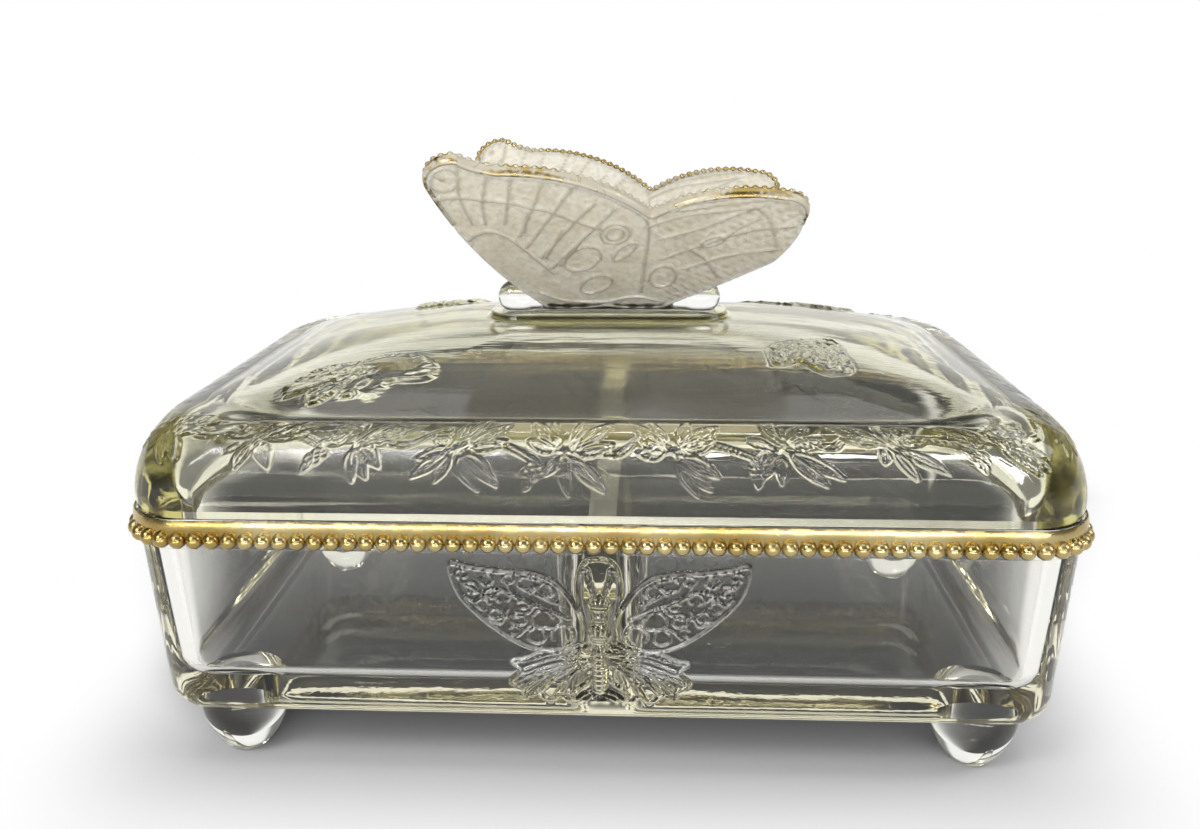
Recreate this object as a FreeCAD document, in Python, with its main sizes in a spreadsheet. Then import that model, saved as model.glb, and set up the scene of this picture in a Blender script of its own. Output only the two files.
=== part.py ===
"""Footed cigarette box of pressed glass with a lift-off domed lid and a butterfly finial.

Frame: +Z up, X along the box, origin on the table under the middle of the box. Sizes in millimetres.
"""
import FreeCAD, Part

import math
import os

import Sketcher

# Driving dimensions: alias, size, what it measures
DIMENSIONS = (
    ("tray_length", 174.0, "tray over its end walls, under the rim"),
    ("tray_width", 98.8, "tray over its long walls, under the rim"),
    ("tray_height", 42.2, "underside of the tray to the top of the rim"),
    ("tray_corner", 11.5, "outside corner of the tray, under the rim"),
    ("wall_draft", 1.4, "lean of a wall between the rim and the underside"),
    ("wall_thickness", 5.0, "tray wall at the mouth"),
    ("floor_thickness", 7.0, "tray floor"),
    ("edge_round", 5.5, "rounded lower edge of the tray"),
    ("cavity_draft", 1.5, "lean of a compartment wall between mouth and floor"),
    ("cavity_round", 4.0, "rounded edge of a compartment floor"),
    ("divider_thickness", 5.0, "divider at the mouth"),
    ("divider_drop", 4.0, "top of the divider below the rim"),
    ("foot_height", 12.0, "table to the underside of the tray"),
    ("foot_radius", 8.6, "bun foot where it leaves the tray"),
    ("foot_flat", 4.0, "radius of the flat that a foot stands on"),
    ("foot_inset_x", 13.0, "foot axis in from the end of the underside"),
    ("foot_inset_y", 11.0, "foot axis in from the long side of the underside"),
    ("rim_height", 5.8, "rim band"),
    ("rim_overhang", 0.4, "rim band out from the wall"),
    ("gilt_thickness", 0.5, "fired gold band"),
    ("gilt_margin", 0.2, "rim left bare above and below the gold band"),
    ("bead_radius", 1.6, "gilt bead"),
    ("bead_pitch", 3.35, "bead to bead along the rim"),
    ("bead_sink", 0.4, "bead centre in from the face of the gold band"),
    ("bead_rise", 1.8, "bead centre above the lower edge of the rim"),
    ("lid_setback", 0.4, "lid edge in from the face of the gold band"),
    ("lid_flange", 2.7, "upright edge of the lid"),
    ("lid_corner", 13.4, "outside corner of the lid"),
    ("shoulder_rise", 15.2, "rounded shoulder above the upright edge"),
    ("shoulder_inset_x", 13.3, "top of the shoulder in from the lid's end"),
    ("shoulder_inset_y", 3.0, "top of the shoulder in from the lid's long side"),
    ("shoulder_corner", 18.0, "corner at the top of the shoulder"),
    ("lid_crown", 9.6, "crowned top above the shoulder"),
    ("lid_top_thickness", 6.0, "lid between its crown and its hollow"),
    ("hollow_inset_x", 9.5, "shoulder of the hollow in from the end of its mouth"),
    ("hollow_inset_y", 3.0, "shoulder of the hollow in from the long side of its mouth"),
    ("hollow_corner", 6.0, "corner of the lid's hollow at its mouth"),
    ("hollow_shoulder_corner", 12.0, "corner of the lid's hollow at its shoulder"),
    ("tongue_depth", 2.5, "locating tongue below the lid's edge"),
    ("tongue_thickness", 3.0, "locating tongue"),
    ("tongue_clearance", 0.7, "tongue to the mouth of the tray"),
    ("plinth_length", 50.0, "oval plinth under the finial"),
    ("plinth_width", 16.0, "oval plinth under the finial"),
    ("plinth_rise", 0.8, "flat of the plinth above the crown"),
    ("finial_length", 47.0, "butterfly's body"),
    ("finial_radius", 3.5, "butterfly's body"),
    ("finial_seat", 0.9, "flat cut under the butterfly's body"),
    ("wing_length", 70.0, "wing from tip to tip"),
    ("wing_height", 43.5, "wing up its own slope"),
    ("wing_thickness", 2.4, "wing plate"),
    ("wing_root", 2.5, "foot of a wing out from the middle of the body"),
    ("wing_gilt", 1.4, "gilt edge along the top of a wing"),
    ("spray_pitch", 18.6, "spray to spray of the leaf garland, along the shoulder"),
    ("spray_start", 12.9, "first spray out from the middle of the front"),
    ("leaf_gap", 2.0, "foot of a leaf out from the middle of its spray"),
    ("leaf_length", 8.8, "longest leaf of the garland"),
    ("leaf_width", 2.6, "widest leaf of the garland"),
    ("leaf_rise", 0.5, "leaf above the shoulder"),
    ("moth_length", 26.7, "small butterfly on the lid's top, along the lid"),
    ("moth_width", 16.9, "small butterfly on the lid's top, across the lid"),
    ("moth_x", 44.75, "small butterfly out from the middle, along the lid"),
    ("moth_y", 34.35, "small butterfly out from the middle, across the lid"),
    ("curl_length", 14.6, "curled leaf on the lid's top, along the lid"),
    ("curl_width", 15.8, "curled leaf on the lid's top, across the lid"),
    ("curl_x", 38.7, "curled leaf out from the middle, along the lid"),
    ("curl_y", 24.1, "curled leaf out from the middle, across the lid"),
    ("ornament_rise", 0.8, "ornament above the lid's top"),
    ("overrun", 2.0, "how far a cutting shape runs past what it cuts"),
)
WING_LEAN_DEGREES = 45.0

# How nearly an edge lies at a level to be taken as lying on it
LEVEL_TOLERANCE = 1e-4

# Heights of the sections through the shoulder and the crown, as shares of their rises
SHOULDER_SHARES = (0.0, 0.3, 0.5, 0.7, 0.85, 0.95, 1.0)
CROWN_SHARES = (0.0, 0.3, 0.6, 0.85, 0.95)

# Powers by which the crown falls off along and across the lid
CROWN_POWER_X = 3.0
CROWN_POWER_Y = 2.0
CROWN_CORNER_SHARE = 0.45

# Joints of the wing outline and the points that its arcs pass between them, as shares of wing_length
# and wing_height, from the left foot of the wing over both tips to the right foot
WING_JOINT_SHARES = (
    (-0.197, -0.045),
    (-0.456, 0.830),
    (-0.359, 0.995),
    (-0.261, 0.923),
    (0.127, 0.650),
    (0.472, 0.768),
    (0.538, 0.625),
    (0.476, 0.330),
    (0.169, -0.045),
)
WING_ARC_SHARES = (
    (-0.369, 0.409),
    (-0.431, 0.955),
    (-0.314, 0.951),
    (-0.049, 0.857),
    (0.282, 0.770),
    (0.534, 0.705),
    (0.517, 0.466),
    (0.345, 0.164),
)
WING_GILT_FLOOR_SHARE = 0.58

# Main leaves of the garland's three sprays, in turn: direction in degrees, then length and width as shares
# of leaf_length and leaf_width
SPRAY_LEAF_SHARES = (
    ((139, 0.80, 0.85), (51, 0.64, 0.80), (12, 0.74, 0.90), (-29, 0.74, 1.00), (-72, 0.79, 0.85), (182, 0.50, 0.80)),
    ((61, 0.58, 0.80), (8, 0.79, 0.85), (-34, 0.97, 0.95), (-139, 0.80, 0.90), (162, 0.42, 0.75)),
    ((140, 0.81, 0.90), (55, 0.63, 0.85), (7, 0.80, 0.90), (-41, 0.90, 0.95), (-84, 0.70, 0.85)),
)
# Height of the sprays as a share of the way up the shoulder
SPRAY_LEVEL_SHARE = 0.64

# Outlines of the ornaments on the front half of the lid's top, as shares of their length and width
MOTH_OUTLINE_SHARES = (
    (-0.451, -0.340), (-0.388, -0.257), (-0.305, -0.216), (-0.253, -0.500), (-0.174, -0.405), (-0.118, -0.299),
    (-0.032, -0.405), (0.032, -0.317), (0.114, -0.423), (0.170, -0.275), (0.227, -0.092), (0.350, -0.086),
    (0.478, -0.038), (0.500, 0.169), (0.418, 0.328), (0.316, 0.470), (0.133, 0.500), (-0.058, 0.376),
    (-0.249, 0.346), (-0.369, 0.257), (-0.455, 0.021), (-0.500, -0.145),
)
CURL_OUTLINE_SHARES = (
    (-0.500, -0.228), (-0.466, -0.348), (-0.315, -0.304), (-0.158, -0.196), (-0.034, -0.329), (0.082, -0.456),
    (0.199, -0.500), (0.438, -0.399), (0.500, -0.222), (0.466, 0.108), (0.390, 0.500), (0.007, 0.405),
    (-0.315, 0.247), (-0.486, 0.032),
)

# Degrees in the quarter ellipse of the shoulder, and those at which the garland's line is measured
QUARTER_DEGREES = 90
GARLAND_DEGREES = 45

# Levels and outlines that several features share
UNDERSIDE = "dims.foot_height"
RIM_TOP = "dims.foot_height + dims.tray_height"
RIM_UNDERSIDE = f"{RIM_TOP} - dims.rim_height"
TRAY_FLOOR = "dims.foot_height + dims.floor_thickness"
MOUTH_LENGTH = "dims.tray_length - 2 * dims.wall_thickness"
MOUTH_WIDTH = "dims.tray_width - 2 * dims.wall_thickness"
MOUTH_CORNER = "dims.tray_corner - dims.wall_thickness"
RIM_LENGTH = "dims.tray_length + 2 * dims.rim_overhang"
RIM_WIDTH = "dims.tray_width + 2 * dims.rim_overhang"
RIM_CORNER = "dims.tray_corner + dims.rim_overhang"
LID_GROWTH = "2 * (dims.gilt_thickness - dims.lid_setback)"
LID_LENGTH = f"{RIM_LENGTH} + {LID_GROWTH}"
LID_WIDTH = f"{RIM_WIDTH} + {LID_GROWTH}"
FLANGE_TOP = f"{RIM_TOP} + dims.lid_flange"
TONGUE_LENGTH = f"{MOUTH_LENGTH} - 2 * dims.tongue_clearance"
TONGUE_WIDTH = f"{MOUTH_WIDTH} - 2 * dims.tongue_clearance"
TONGUE_CORNER = f"{MOUTH_CORNER} - dims.tongue_clearance"
HOLLOW_LENGTH = f"{TONGUE_LENGTH} - 2 * dims.tongue_thickness"
HOLLOW_WIDTH = f"{TONGUE_WIDTH} - 2 * dims.tongue_thickness"
CROWN_TOP = f"{FLANGE_TOP} + dims.shoulder_rise + dims.lid_crown"
SEAT = f"{CROWN_TOP} + dims.plinth_rise"
BODY_AXIS = f"{SEAT} + dims.finial_radius - dims.finial_seat"


def new_sheet(doc):
    """Spreadsheet of the driving dimensions, one aliased cell each."""
    sheet = doc.addObject("Spreadsheet::Sheet", "dims")
    for row, (alias, size, meaning) in enumerate(DIMENSIONS, start=1):
        sheet.set(f"A{row}", meaning)
        sheet.set(f"B{row}", str(size))
        sheet.setAlias(f"B{row}", alias)
    doc.recompute()
    return sheet


def size_of(doc, expression):
    """Present value of an expression on the sheet."""
    return float(doc.dims.evalExpression(expression))


def origin_plane(body, role):
    """Origin plane of a body by its role."""
    return next(plane for plane in body.Origin.OriginFeatures if plane.Role == role)


def new_sketch(body, name, role, offsets):
    """Sketch on an origin plane, moved off it by expressions for its x, y or z."""
    sketch = body.newObject("Sketcher::SketchObject", name)
    sketch.AttachmentSupport = [(origin_plane(body, role), "")]
    sketch.MapMode = "FlatFace"
    for axis, expression in offsets.items():
        sketch.setExpression(f"AttachmentOffset.Base.{axis}", expression)
    return sketch


def bind(sketch, kind, places, expression):
    """Sketch dimension driven by an expression."""
    index = sketch.addConstraint(Sketcher.Constraint(kind, *places, size_of(sketch.Document, expression)))
    sketch.setExpression(f"Constraints[{index}]", expression)


def rectangle_edges(length, width, radius):
    """Lines and corner arcs of a rounded rectangle about the origin, in order round it."""
    far_x, far_y = length / 2, width / 2
    near_x, near_y = far_x - radius, far_y - radius
    vector = FreeCAD.Vector
    corners = ((near_x, -near_y, -90), (near_x, near_y, 0), (-near_x, near_y, 90), (-near_x, -near_y, 180))
    lines = (
        Part.LineSegment(vector(-near_x, -far_y, 0), vector(near_x, -far_y, 0)),
        Part.LineSegment(vector(far_x, -near_y, 0), vector(far_x, near_y, 0)),
        Part.LineSegment(vector(near_x, far_y, 0), vector(-near_x, far_y, 0)),
        Part.LineSegment(vector(-far_x, near_y, 0), vector(-far_x, -near_y, 0)),
    )
    edges = []
    for line, (centre_x, centre_y, start) in zip(lines, corners):
        circle = Part.Circle(vector(centre_x, centre_y, 0), vector(0, 0, 1), radius)
        first = math.radians(start)
        edges += [line, Part.ArcOfCircle(circle, first, first + math.pi / 2)]
    return edges


def rounded_rectangle(body, name, length, width, radius, offsets):
    """Sketch of a rounded rectangle about its own origin, its sizes bound to expressions."""
    sketch = new_sketch(body, name, "XY_Plane", offsets)
    doc = sketch.Document
    sketch.addGeometry(rectangle_edges(*(size_of(doc, text) for text in (length, width, radius))), False)
    bottom, first_arc, right, second_arc, top, third_arc, left, fourth_arc = range(8)
    ring = (bottom, first_arc, right, second_arc, top, third_arc, left, fourth_arc)
    for before, after in zip(ring, ring[1:] + ring[:1]):
        sketch.addConstraint(Sketcher.Constraint("Tangent", before, 2, after, 1))
    for line in (bottom, top):
        sketch.addConstraint(Sketcher.Constraint("Horizontal", line))
    for line in (right, left):
        sketch.addConstraint(Sketcher.Constraint("Vertical", line))
    for arc in (second_arc, third_arc, fourth_arc):
        sketch.addConstraint(Sketcher.Constraint("Equal", first_arc, arc))
    sketch.addConstraint(Sketcher.Constraint("Symmetric", second_arc, 3, fourth_arc, 3, -1, 1))
    bind(sketch, "Radius", (first_arc,), radius)
    bind(sketch, "DistanceX", (left, 1, right, 1), length)
    bind(sketch, "DistanceY", (bottom, 1, top, 1), width)
    return sketch


def loft(body, kind, name, sections, ruled):
    """Loft through sketches, added to the body or cut from it."""
    feature = body.newObject(f"PartDesign::{kind}", name)
    feature.Profile = sections[0]
    feature.Sections = sections[1:]
    feature.Ruled = ruled
    return feature


def pad(body, name, sketch, length, downwards=False):
    """Sketch padded up or down by an expression."""
    feature = body.newObject("PartDesign::Pad", name)
    feature.Profile = sketch
    feature.Reversed = downwards
    feature.setExpression("Length", length)
    return feature


def pocket(body, name, sketch, depth):
    """Pocket cut down from a sketch by an expression."""
    feature = body.newObject("PartDesign::Pocket", name)
    feature.Profile = sketch
    feature.setExpression("Length", depth)
    return feature


def round_level_edges(body, name, level, radius):
    """Fillet on every edge of the body's tip that lies flat at a level."""
    doc = body.Document
    doc.recompute()
    tip = body.Tip
    height = size_of(doc, level)
    names = [
        f"Edge{number}"
        for number, edge in enumerate(tip.Shape.Edges, start=1)
        if max(abs(edge.BoundBox.ZMin - height), abs(edge.BoundBox.ZMax - height)) < LEVEL_TOLERANCE
    ]
    feature = body.newObject("PartDesign::Fillet", name)
    feature.Base = (tip, names)
    feature.setExpression("Radius", radius)
    return feature


def make_base_tray(doc):
    """Glass tray with its rim, two compartments, divider and bun feet."""
    body = doc.addObject("PartDesign::Body", "base_tray")
    under = rounded_rectangle(
        body, "underside_outline", "dims.tray_length - 2 * dims.wall_draft",
        "dims.tray_width - 2 * dims.wall_draft", "dims.tray_corner - dims.wall_draft", {"z": UNDERSIDE},
    )
    upper = rounded_rectangle(
        body, "wall_outline", "dims.tray_length", "dims.tray_width", "dims.tray_corner", {"z": RIM_UNDERSIDE},
    )
    loft(body, "AdditiveLoft", "walls", [under, upper], True)
    round_level_edges(body, "lower_edge", UNDERSIDE, "dims.edge_round")
    rim = rounded_rectangle(body, "rim_outline", RIM_LENGTH, RIM_WIDTH, RIM_CORNER, {"z": RIM_UNDERSIDE})
    pad(body, "rim", rim, "dims.rim_height")
    for side, sign in (("left", "-1"), ("right", "1")):
        make_compartment(body, side, sign)
    round_level_edges(body, "floor_edges", TRAY_FLOOR, "dims.cavity_round")
    notch = rounded_rectangle(
        body, "divider_outline", f"dims.divider_thickness + 2 * ({MOUTH_CORNER})", MOUTH_WIDTH,
        "dims.divider_thickness / 4", {"z": RIM_TOP},
    )
    pocket(body, "divider_top", notch, "dims.divider_drop")
    for side_x, sign_x in (("left", "-1"), ("right", "1")):
        for side_y, sign_y in (("front", "-1"), ("back", "1")):
            make_foot(body, f"{side_x}_{side_y}", sign_x, sign_y)
    return body


def make_compartment(body, side, sign):
    """Compartment on one side of the divider, narrowing from the mouth to the floor."""
    length = f"({MOUTH_LENGTH} - dims.divider_thickness) / 2"
    centre = f"{sign} * ({MOUTH_LENGTH} + dims.divider_thickness) / 4"
    mouth = rounded_rectangle(
        body, f"{side}_mouth", length, MOUTH_WIDTH, MOUTH_CORNER, {"x": centre, "z": RIM_TOP},
    )
    floor = rounded_rectangle(
        body, f"{side}_floor", f"{length} - 2 * dims.cavity_draft", f"{MOUTH_WIDTH} - 2 * dims.cavity_draft",
        MOUTH_CORNER, {"x": centre, "z": TRAY_FLOOR},
    )
    loft(body, "SubtractiveLoft", f"{side}_compartment", [mouth, floor], True)


def make_foot(body, name, sign_x, sign_y):
    """Bun foot turned about its own upright axis and let into the tray's underside."""
    along = f"{sign_x} * (dims.tray_length / 2 - dims.wall_draft - dims.foot_inset_x)"
    across = f"-{sign_y} * (dims.tray_width / 2 - dims.wall_draft - dims.foot_inset_y)"
    sketch = new_sketch(body, f"{name}_foot_profile", "XZ_Plane", {"x": along, "z": across})
    doc = sketch.Document
    flat, radius, height, embed = (
        size_of(doc, f"dims.{alias}") for alias in ("foot_flat", "foot_radius", "foot_height", "edge_round")
    )
    reach = radius - flat
    bulge = (reach ** 2 + height ** 2) / (2 * reach)
    vector = FreeCAD.Vector
    circle = Part.Circle(vector(radius - bulge, height, 0), vector(0, 0, 1), bulge)
    sketch.addGeometry(
        [
            Part.LineSegment(vector(0, 0, 0), vector(flat, 0, 0)),
            Part.ArcOfCircle(circle, -math.asin(height / bulge), 0),
            Part.LineSegment(vector(radius, height, 0), vector(radius, height + embed, 0)),
            Part.LineSegment(vector(radius, height + embed, 0), vector(0, height + embed, 0)),
            Part.LineSegment(vector(0, height + embed, 0), vector(0, 0, 0)),
        ],
        False,
    )
    base, side_arc, side, top, axis = range(5)
    for before, after in ((base, side_arc), (side, top), (top, axis), (axis, base)):
        sketch.addConstraint(Sketcher.Constraint("Coincident", before, 2, after, 1))
    sketch.addConstraint(Sketcher.Constraint("Tangent", side_arc, 2, side, 1))
    sketch.addConstraint(Sketcher.Constraint("Coincident", base, 1, -1, 1))
    for line in (base, top):
        sketch.addConstraint(Sketcher.Constraint("Horizontal", line))
    for line in (side, axis):
        sketch.addConstraint(Sketcher.Constraint("Vertical", line))
    bind(sketch, "DistanceX", (base, 1, base, 2), "dims.foot_flat")
    bind(sketch, "DistanceX", (top, 2, top, 1), "dims.foot_radius")
    bind(sketch, "DistanceY", (-1, 1, side, 1), "dims.foot_height")
    bind(sketch, "DistanceY", (side, 1, side, 2), "dims.edge_round")
    foot = body.newObject("PartDesign::Revolution", f"{name}_foot")
    foot.Profile = sketch
    foot.ReferenceAxis = (sketch, ["V_Axis"])
    return foot


def make_dome(body, kind, name, mouth, rise, insets, top_corner):
    """Pillow dome: a quarter-ellipse shoulder, then a crown that fades out towards its edges."""
    length, width, corner = mouth
    inset_x, inset_y = insets
    shoulder = []
    for share in SHOULDER_SHARES:
        lean_share = 1 - math.sqrt(1 - share ** 2)
        shoulder.append(
            rounded_rectangle(
                body, f"{name}_shoulder_outline", f"{length} - 2 * {inset_x} * {lean_share}",
                f"{width} - 2 * {inset_y} * {lean_share}", f"{corner} * {1 - share} + {top_corner} * {share}",
                {"z": f"{FLANGE_TOP} + ({rise}) * {share}"},
            )
        )
    loft(body, kind, f"{name}_shoulder", shoulder, True)
    crown = []
    for share in CROWN_SHARES:
        level_length = f"({length} - 2 * {inset_x}) * {(1 - share) ** (1 / CROWN_POWER_X)}"
        level_width = f"({width} - 2 * {inset_y}) * {(1 - share) ** (1 / CROWN_POWER_Y)}"
        level_corner = f"{top_corner} * {1 - share} + {level_width} * {CROWN_CORNER_SHARE * share}"
        crown.append(
            rounded_rectangle(
                body, f"{name}_crown_outline", level_length, level_width, level_corner,
                {"z": f"{FLANGE_TOP} + ({rise}) + dims.lid_crown * {share}"},
            )
        )
    loft(body, kind, f"{name}_crown", crown, False)


def shoulder_sections(doc):
    """Half length, half width, corner and level of the lid's shoulder at each degree of its quarter ellipse."""
    half_x, half_y, corner, foot = (
        size_of(doc, text) for text in (f"({LID_LENGTH}) / 2", f"({LID_WIDTH}) / 2", "dims.lid_corner", FLANGE_TOP)
    )
    inset_x, inset_y, top_corner, rise = (
        size_of(doc, f"dims.shoulder_{alias}") for alias in ("inset_x", "inset_y", "corner", "rise")
    )
    sections = []
    for degrees in range(QUARTER_DEGREES + 1):
        rise_share = math.sin(math.radians(degrees))
        lean_share = 1 - math.cos(math.radians(degrees))
        sections.append(
            (
                half_x - inset_x * lean_share, half_y - inset_y * lean_share,
                corner * (1 - rise_share) + top_corner * rise_share, foot + rise * rise_share,
            )
        )
    return sections


def shoulder_place(sections, distance, climb):
    """Point on the shoulder with its ways round, up and out, by distance along the garland and climb off it."""
    half_x, half_y, corner, _ = sections[GARLAND_DEGREES]
    edges = [edge.toShape() for edge in rectangle_edges(2 * half_x, 2 * half_y, corner)]
    left = (distance + edges[0].Length / 2) % sum(edge.Length for edge in edges)
    waiting = list(edges)
    while left > waiting[0].Length:
        left -= waiting.pop(0).Length
    parameter = waiting[0].getParameterByLength(left)
    out = waiting[0].tangentAt(parameter).cross(FreeCAD.Vector(0, 0, 1))
    centre = waiting[0].valueAt(parameter) - out * corner
    share_x, share_y = centre.x / (half_x - corner), centre.y / (half_y - corner)
    line = [
        FreeCAD.Vector(share_x * (far_x - turn) + out.x * turn, share_y * (far_y - turn) + out.y * turn, level)
        for far_x, far_y, turn, level in sections
    ]
    steps = [after - before for before, after in zip(line, line[1:])]
    left = SPRAY_LEVEL_SHARE * sum(step.Length for step in steps) + climb
    number = 0
    while number < len(steps) - 1 and left > steps[number].Length:
        left -= steps[number].Length
        number += 1
    up = FreeCAD.Vector(steps[number]).normalize()
    along = FreeCAD.Vector(-out.y, out.x, 0)
    return line[number] + up * left, along, up, along.cross(up)


def make_leaf(doc, sections, distance, leaf):
    """Leaf of a spray: a ball drawn out along the leaf and flattened, its middle on the shoulder."""
    degrees, length_share, width_share = leaf
    half_length, half_width, rise, gap = (
        size_of(doc, text) for text in (
            f"dims.leaf_length * {length_share} / 2", f"dims.leaf_width * {width_share} / 2", "dims.leaf_rise",
            "dims.leaf_gap",
        )
    )
    cosine, sine = math.cos(math.radians(degrees)), math.sin(math.radians(degrees))
    reach = gap + half_length
    middle, along, up, out = shoulder_place(sections, distance + cosine * reach, sine * reach)
    way = along * cosine + up * sine
    across = out.cross(way)
    matrix = FreeCAD.Matrix()
    for row, name in enumerate("xyz", start=1):
        columns = (
            getattr(across, name) * half_width, -getattr(way, name) * half_length, getattr(out, name) * rise,
            getattr(middle, name),
        )
        for column, value in enumerate(columns, start=1):
            setattr(matrix, f"A{row}{column}", value)
    return Part.makeSphere(1).transformGeometry(matrix)


def make_garland(doc):
    """Main leaves of the garland round the lid's shoulder."""
    sections = shoulder_sections(doc)
    half_x, half_y, corner, _ = sections[GARLAND_DEGREES]
    total = sum(edge.toShape().Length for edge in rectangle_edges(2 * half_x, 2 * half_y, corner))
    count = round(total / size_of(doc, "dims.spray_pitch"))
    start = size_of(doc, "dims.spray_start")
    leaves = [
        make_leaf(doc, sections, start + total * number / count, leaf)
        for number in range(count)
        for leaf in SPRAY_LEAF_SHARES[number % len(SPRAY_LEAF_SHARES)]
    ]
    node = doc.addObject("Part::Feature", "garland_leaves")
    node.Shape = leaves[0].multiFuse(leaves[1:])
    return node


def make_ornament(doc, name, shares, sign):
    """Raised plates of one outline on both halves of the lid's top, the back one turned half round."""
    length, width, along, across, rise, depth = (
        size_of(doc, text) for text in (
            f"dims.{name}_length", f"dims.{name}_width", f"{sign} * dims.{name}_x", f"-dims.{name}_y",
            "dims.ornament_rise", "dims.lid_top_thickness / 2",
        )
    )
    curve = Part.BSplineCurve()
    curve.interpolate(
        [FreeCAD.Vector(along + x * length, across + y * width, 0) for x, y in shares], PeriodicFlag=True
    )
    face = Part.Face(Part.Wire([curve.toShape()]))
    block = face.extrude(FreeCAD.Vector(0, 0, size_of(doc, SEAT)))
    dome = doc.getObject("dome_crown").Shape
    plate = block.common(dome.translated(FreeCAD.Vector(0, 0, rise)))
    plate = plate.cut(dome.translated(FreeCAD.Vector(0, 0, -depth)))
    turned = plate.rotated(FreeCAD.Vector(0, 0, 0), FreeCAD.Vector(0, 0, 1), 180)
    node = doc.addObject("Part::Feature", f"top_{name}s")
    node.Shape = Part.makeCompound([plate, turned])
    return node


def make_lid_shell(doc):
    """Domed glass lid with its garland and the ornaments of its top."""
    plain = make_lid_plain(doc)
    doc.recompute()
    lid = doc.addObject("Part::MultiFuse", "lid_shell")
    lid.Shapes = [
        plain, make_garland(doc), make_ornament(doc, "moth", MOTH_OUTLINE_SHARES, "-1"),
        make_ornament(doc, "curl", CURL_OUTLINE_SHARES, "1"),
    ]
    return lid


def make_lid_plain(doc):
    """Lid before its relief: upright edge, dome, locating tongue, hollow and finial plinth."""
    body = doc.addObject("PartDesign::Body", "lid_plain")
    edge = rounded_rectangle(body, "edge_outline", LID_LENGTH, LID_WIDTH, "dims.lid_corner", {"z": RIM_TOP})
    pad(body, "edge", edge, "dims.lid_flange")
    make_dome(
        body, "AdditiveLoft", "dome", (f"({LID_LENGTH})", f"({LID_WIDTH})", "dims.lid_corner"),
        "dims.shoulder_rise", ("dims.shoulder_inset_x", "dims.shoulder_inset_y"), "dims.shoulder_corner",
    )
    plinth = rounded_rectangle(
        body, "plinth_outline", "dims.plinth_length", "dims.plinth_width",
        f"dims.plinth_width * {CROWN_CORNER_SHARE}", {"z": SEAT},
    )
    pad(body, "plinth", plinth, "dims.plinth_rise + dims.lid_top_thickness / 2", True)
    tongue = rounded_rectangle(
        body, "tongue_outline", TONGUE_LENGTH, TONGUE_WIDTH, TONGUE_CORNER, {"z": RIM_TOP},
    )
    pad(body, "tongue", tongue, "dims.tongue_depth", True)
    mouth = rounded_rectangle(
        body, "hollow_outline", HOLLOW_LENGTH, HOLLOW_WIDTH, "dims.hollow_corner", {"z": FLANGE_TOP},
    )
    pocket(body, "hollow_mouth", mouth, "dims.lid_flange + dims.tongue_depth + dims.overrun")
    make_dome(
        body, "SubtractiveLoft", "hollow", (f"({HOLLOW_LENGTH})", f"({HOLLOW_WIDTH})", "dims.hollow_corner"),
        "dims.shoulder_rise - dims.lid_top_thickness", ("dims.hollow_inset_x", "dims.hollow_inset_y"),
        "dims.hollow_shoulder_corner",
    )
    return body


def rounded_prism(doc, length, width, radius, level, height):
    """Upright prism on a rounded rectangle, all given as expressions."""
    edges = rectangle_edges(*(size_of(doc, text) for text in (length, width, radius)))
    face = Part.Face(Part.Wire([edge.toShape() for edge in edges]))
    face.translate(FreeCAD.Vector(0, 0, size_of(doc, level)))
    return face.extrude(FreeCAD.Vector(0, 0, size_of(doc, height)))


def places_round(length, width, radius, pitch):
    """Points and outward directions at an even pitch round a rounded rectangle."""
    edges = [edge.toShape() for edge in rectangle_edges(length, width, radius)]
    total = sum(edge.Length for edge in edges)
    count = round(total / pitch)
    passed = 0.0
    waiting = list(edges)
    for number in range(count):
        distance = total * number / count
        while distance > passed + waiting[0].Length:
            passed += waiting.pop(0).Length
        edge = waiting[0]
        parameter = edge.getParameterByLength(distance - passed)
        yield edge.valueAt(parameter), edge.tangentAt(parameter).cross(FreeCAD.Vector(0, 0, 1))


def make_gilt_bead_band(doc):
    """Fired gold round the rim: a plain band with a row of half-round beads along its lower part."""
    level = f"{RIM_UNDERSIDE} + dims.gilt_margin"
    height = "dims.rim_height - 2 * dims.gilt_margin"
    outer = (
        f"{RIM_LENGTH} + 2 * dims.gilt_thickness",
        f"{RIM_WIDTH} + 2 * dims.gilt_thickness",
        f"{RIM_CORNER} + dims.gilt_thickness",
    )
    band = rounded_prism(doc, *outer, level, height).cut(
        rounded_prism(doc, RIM_LENGTH, RIM_WIDTH, RIM_CORNER, level, height)
    )
    length, width, corner = (size_of(doc, text) for text in outer)
    sink, radius, pitch = (size_of(doc, f"dims.bead_{alias}") for alias in ("sink", "radius", "pitch"))
    lift = FreeCAD.Vector(0, 0, size_of(doc, f"{RIM_UNDERSIDE} + dims.bead_rise"))
    beads = [
        Part.makeSphere(radius, point + lift, outward, 0, 90, 360)
        for point, outward in places_round(length - 2 * sink, width - 2 * sink, corner - sink, pitch)
    ]
    node = doc.addObject("Part::Feature", "gilt_bead_band")
    node.Shape = band.multiFuse(beads)
    return node


def wing_outline(doc):
    """Closed outline of a wing in its own plane: x along the body, y up the wing."""
    scale_x, scale_y = size_of(doc, "dims.wing_length"), size_of(doc, "dims.wing_height")
    joints = [FreeCAD.Vector(x * scale_x, y * scale_y, 0) for x, y in WING_JOINT_SHARES]
    between = [FreeCAD.Vector(x * scale_x, y * scale_y, 0) for x, y in WING_ARC_SHARES]
    arcs = [Part.Arc(*points).toShape() for points in zip(joints, between, joints[1:])]
    return Part.Wire(arcs + [Part.LineSegment(joints[-1], joints[0]).toShape()])


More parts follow.
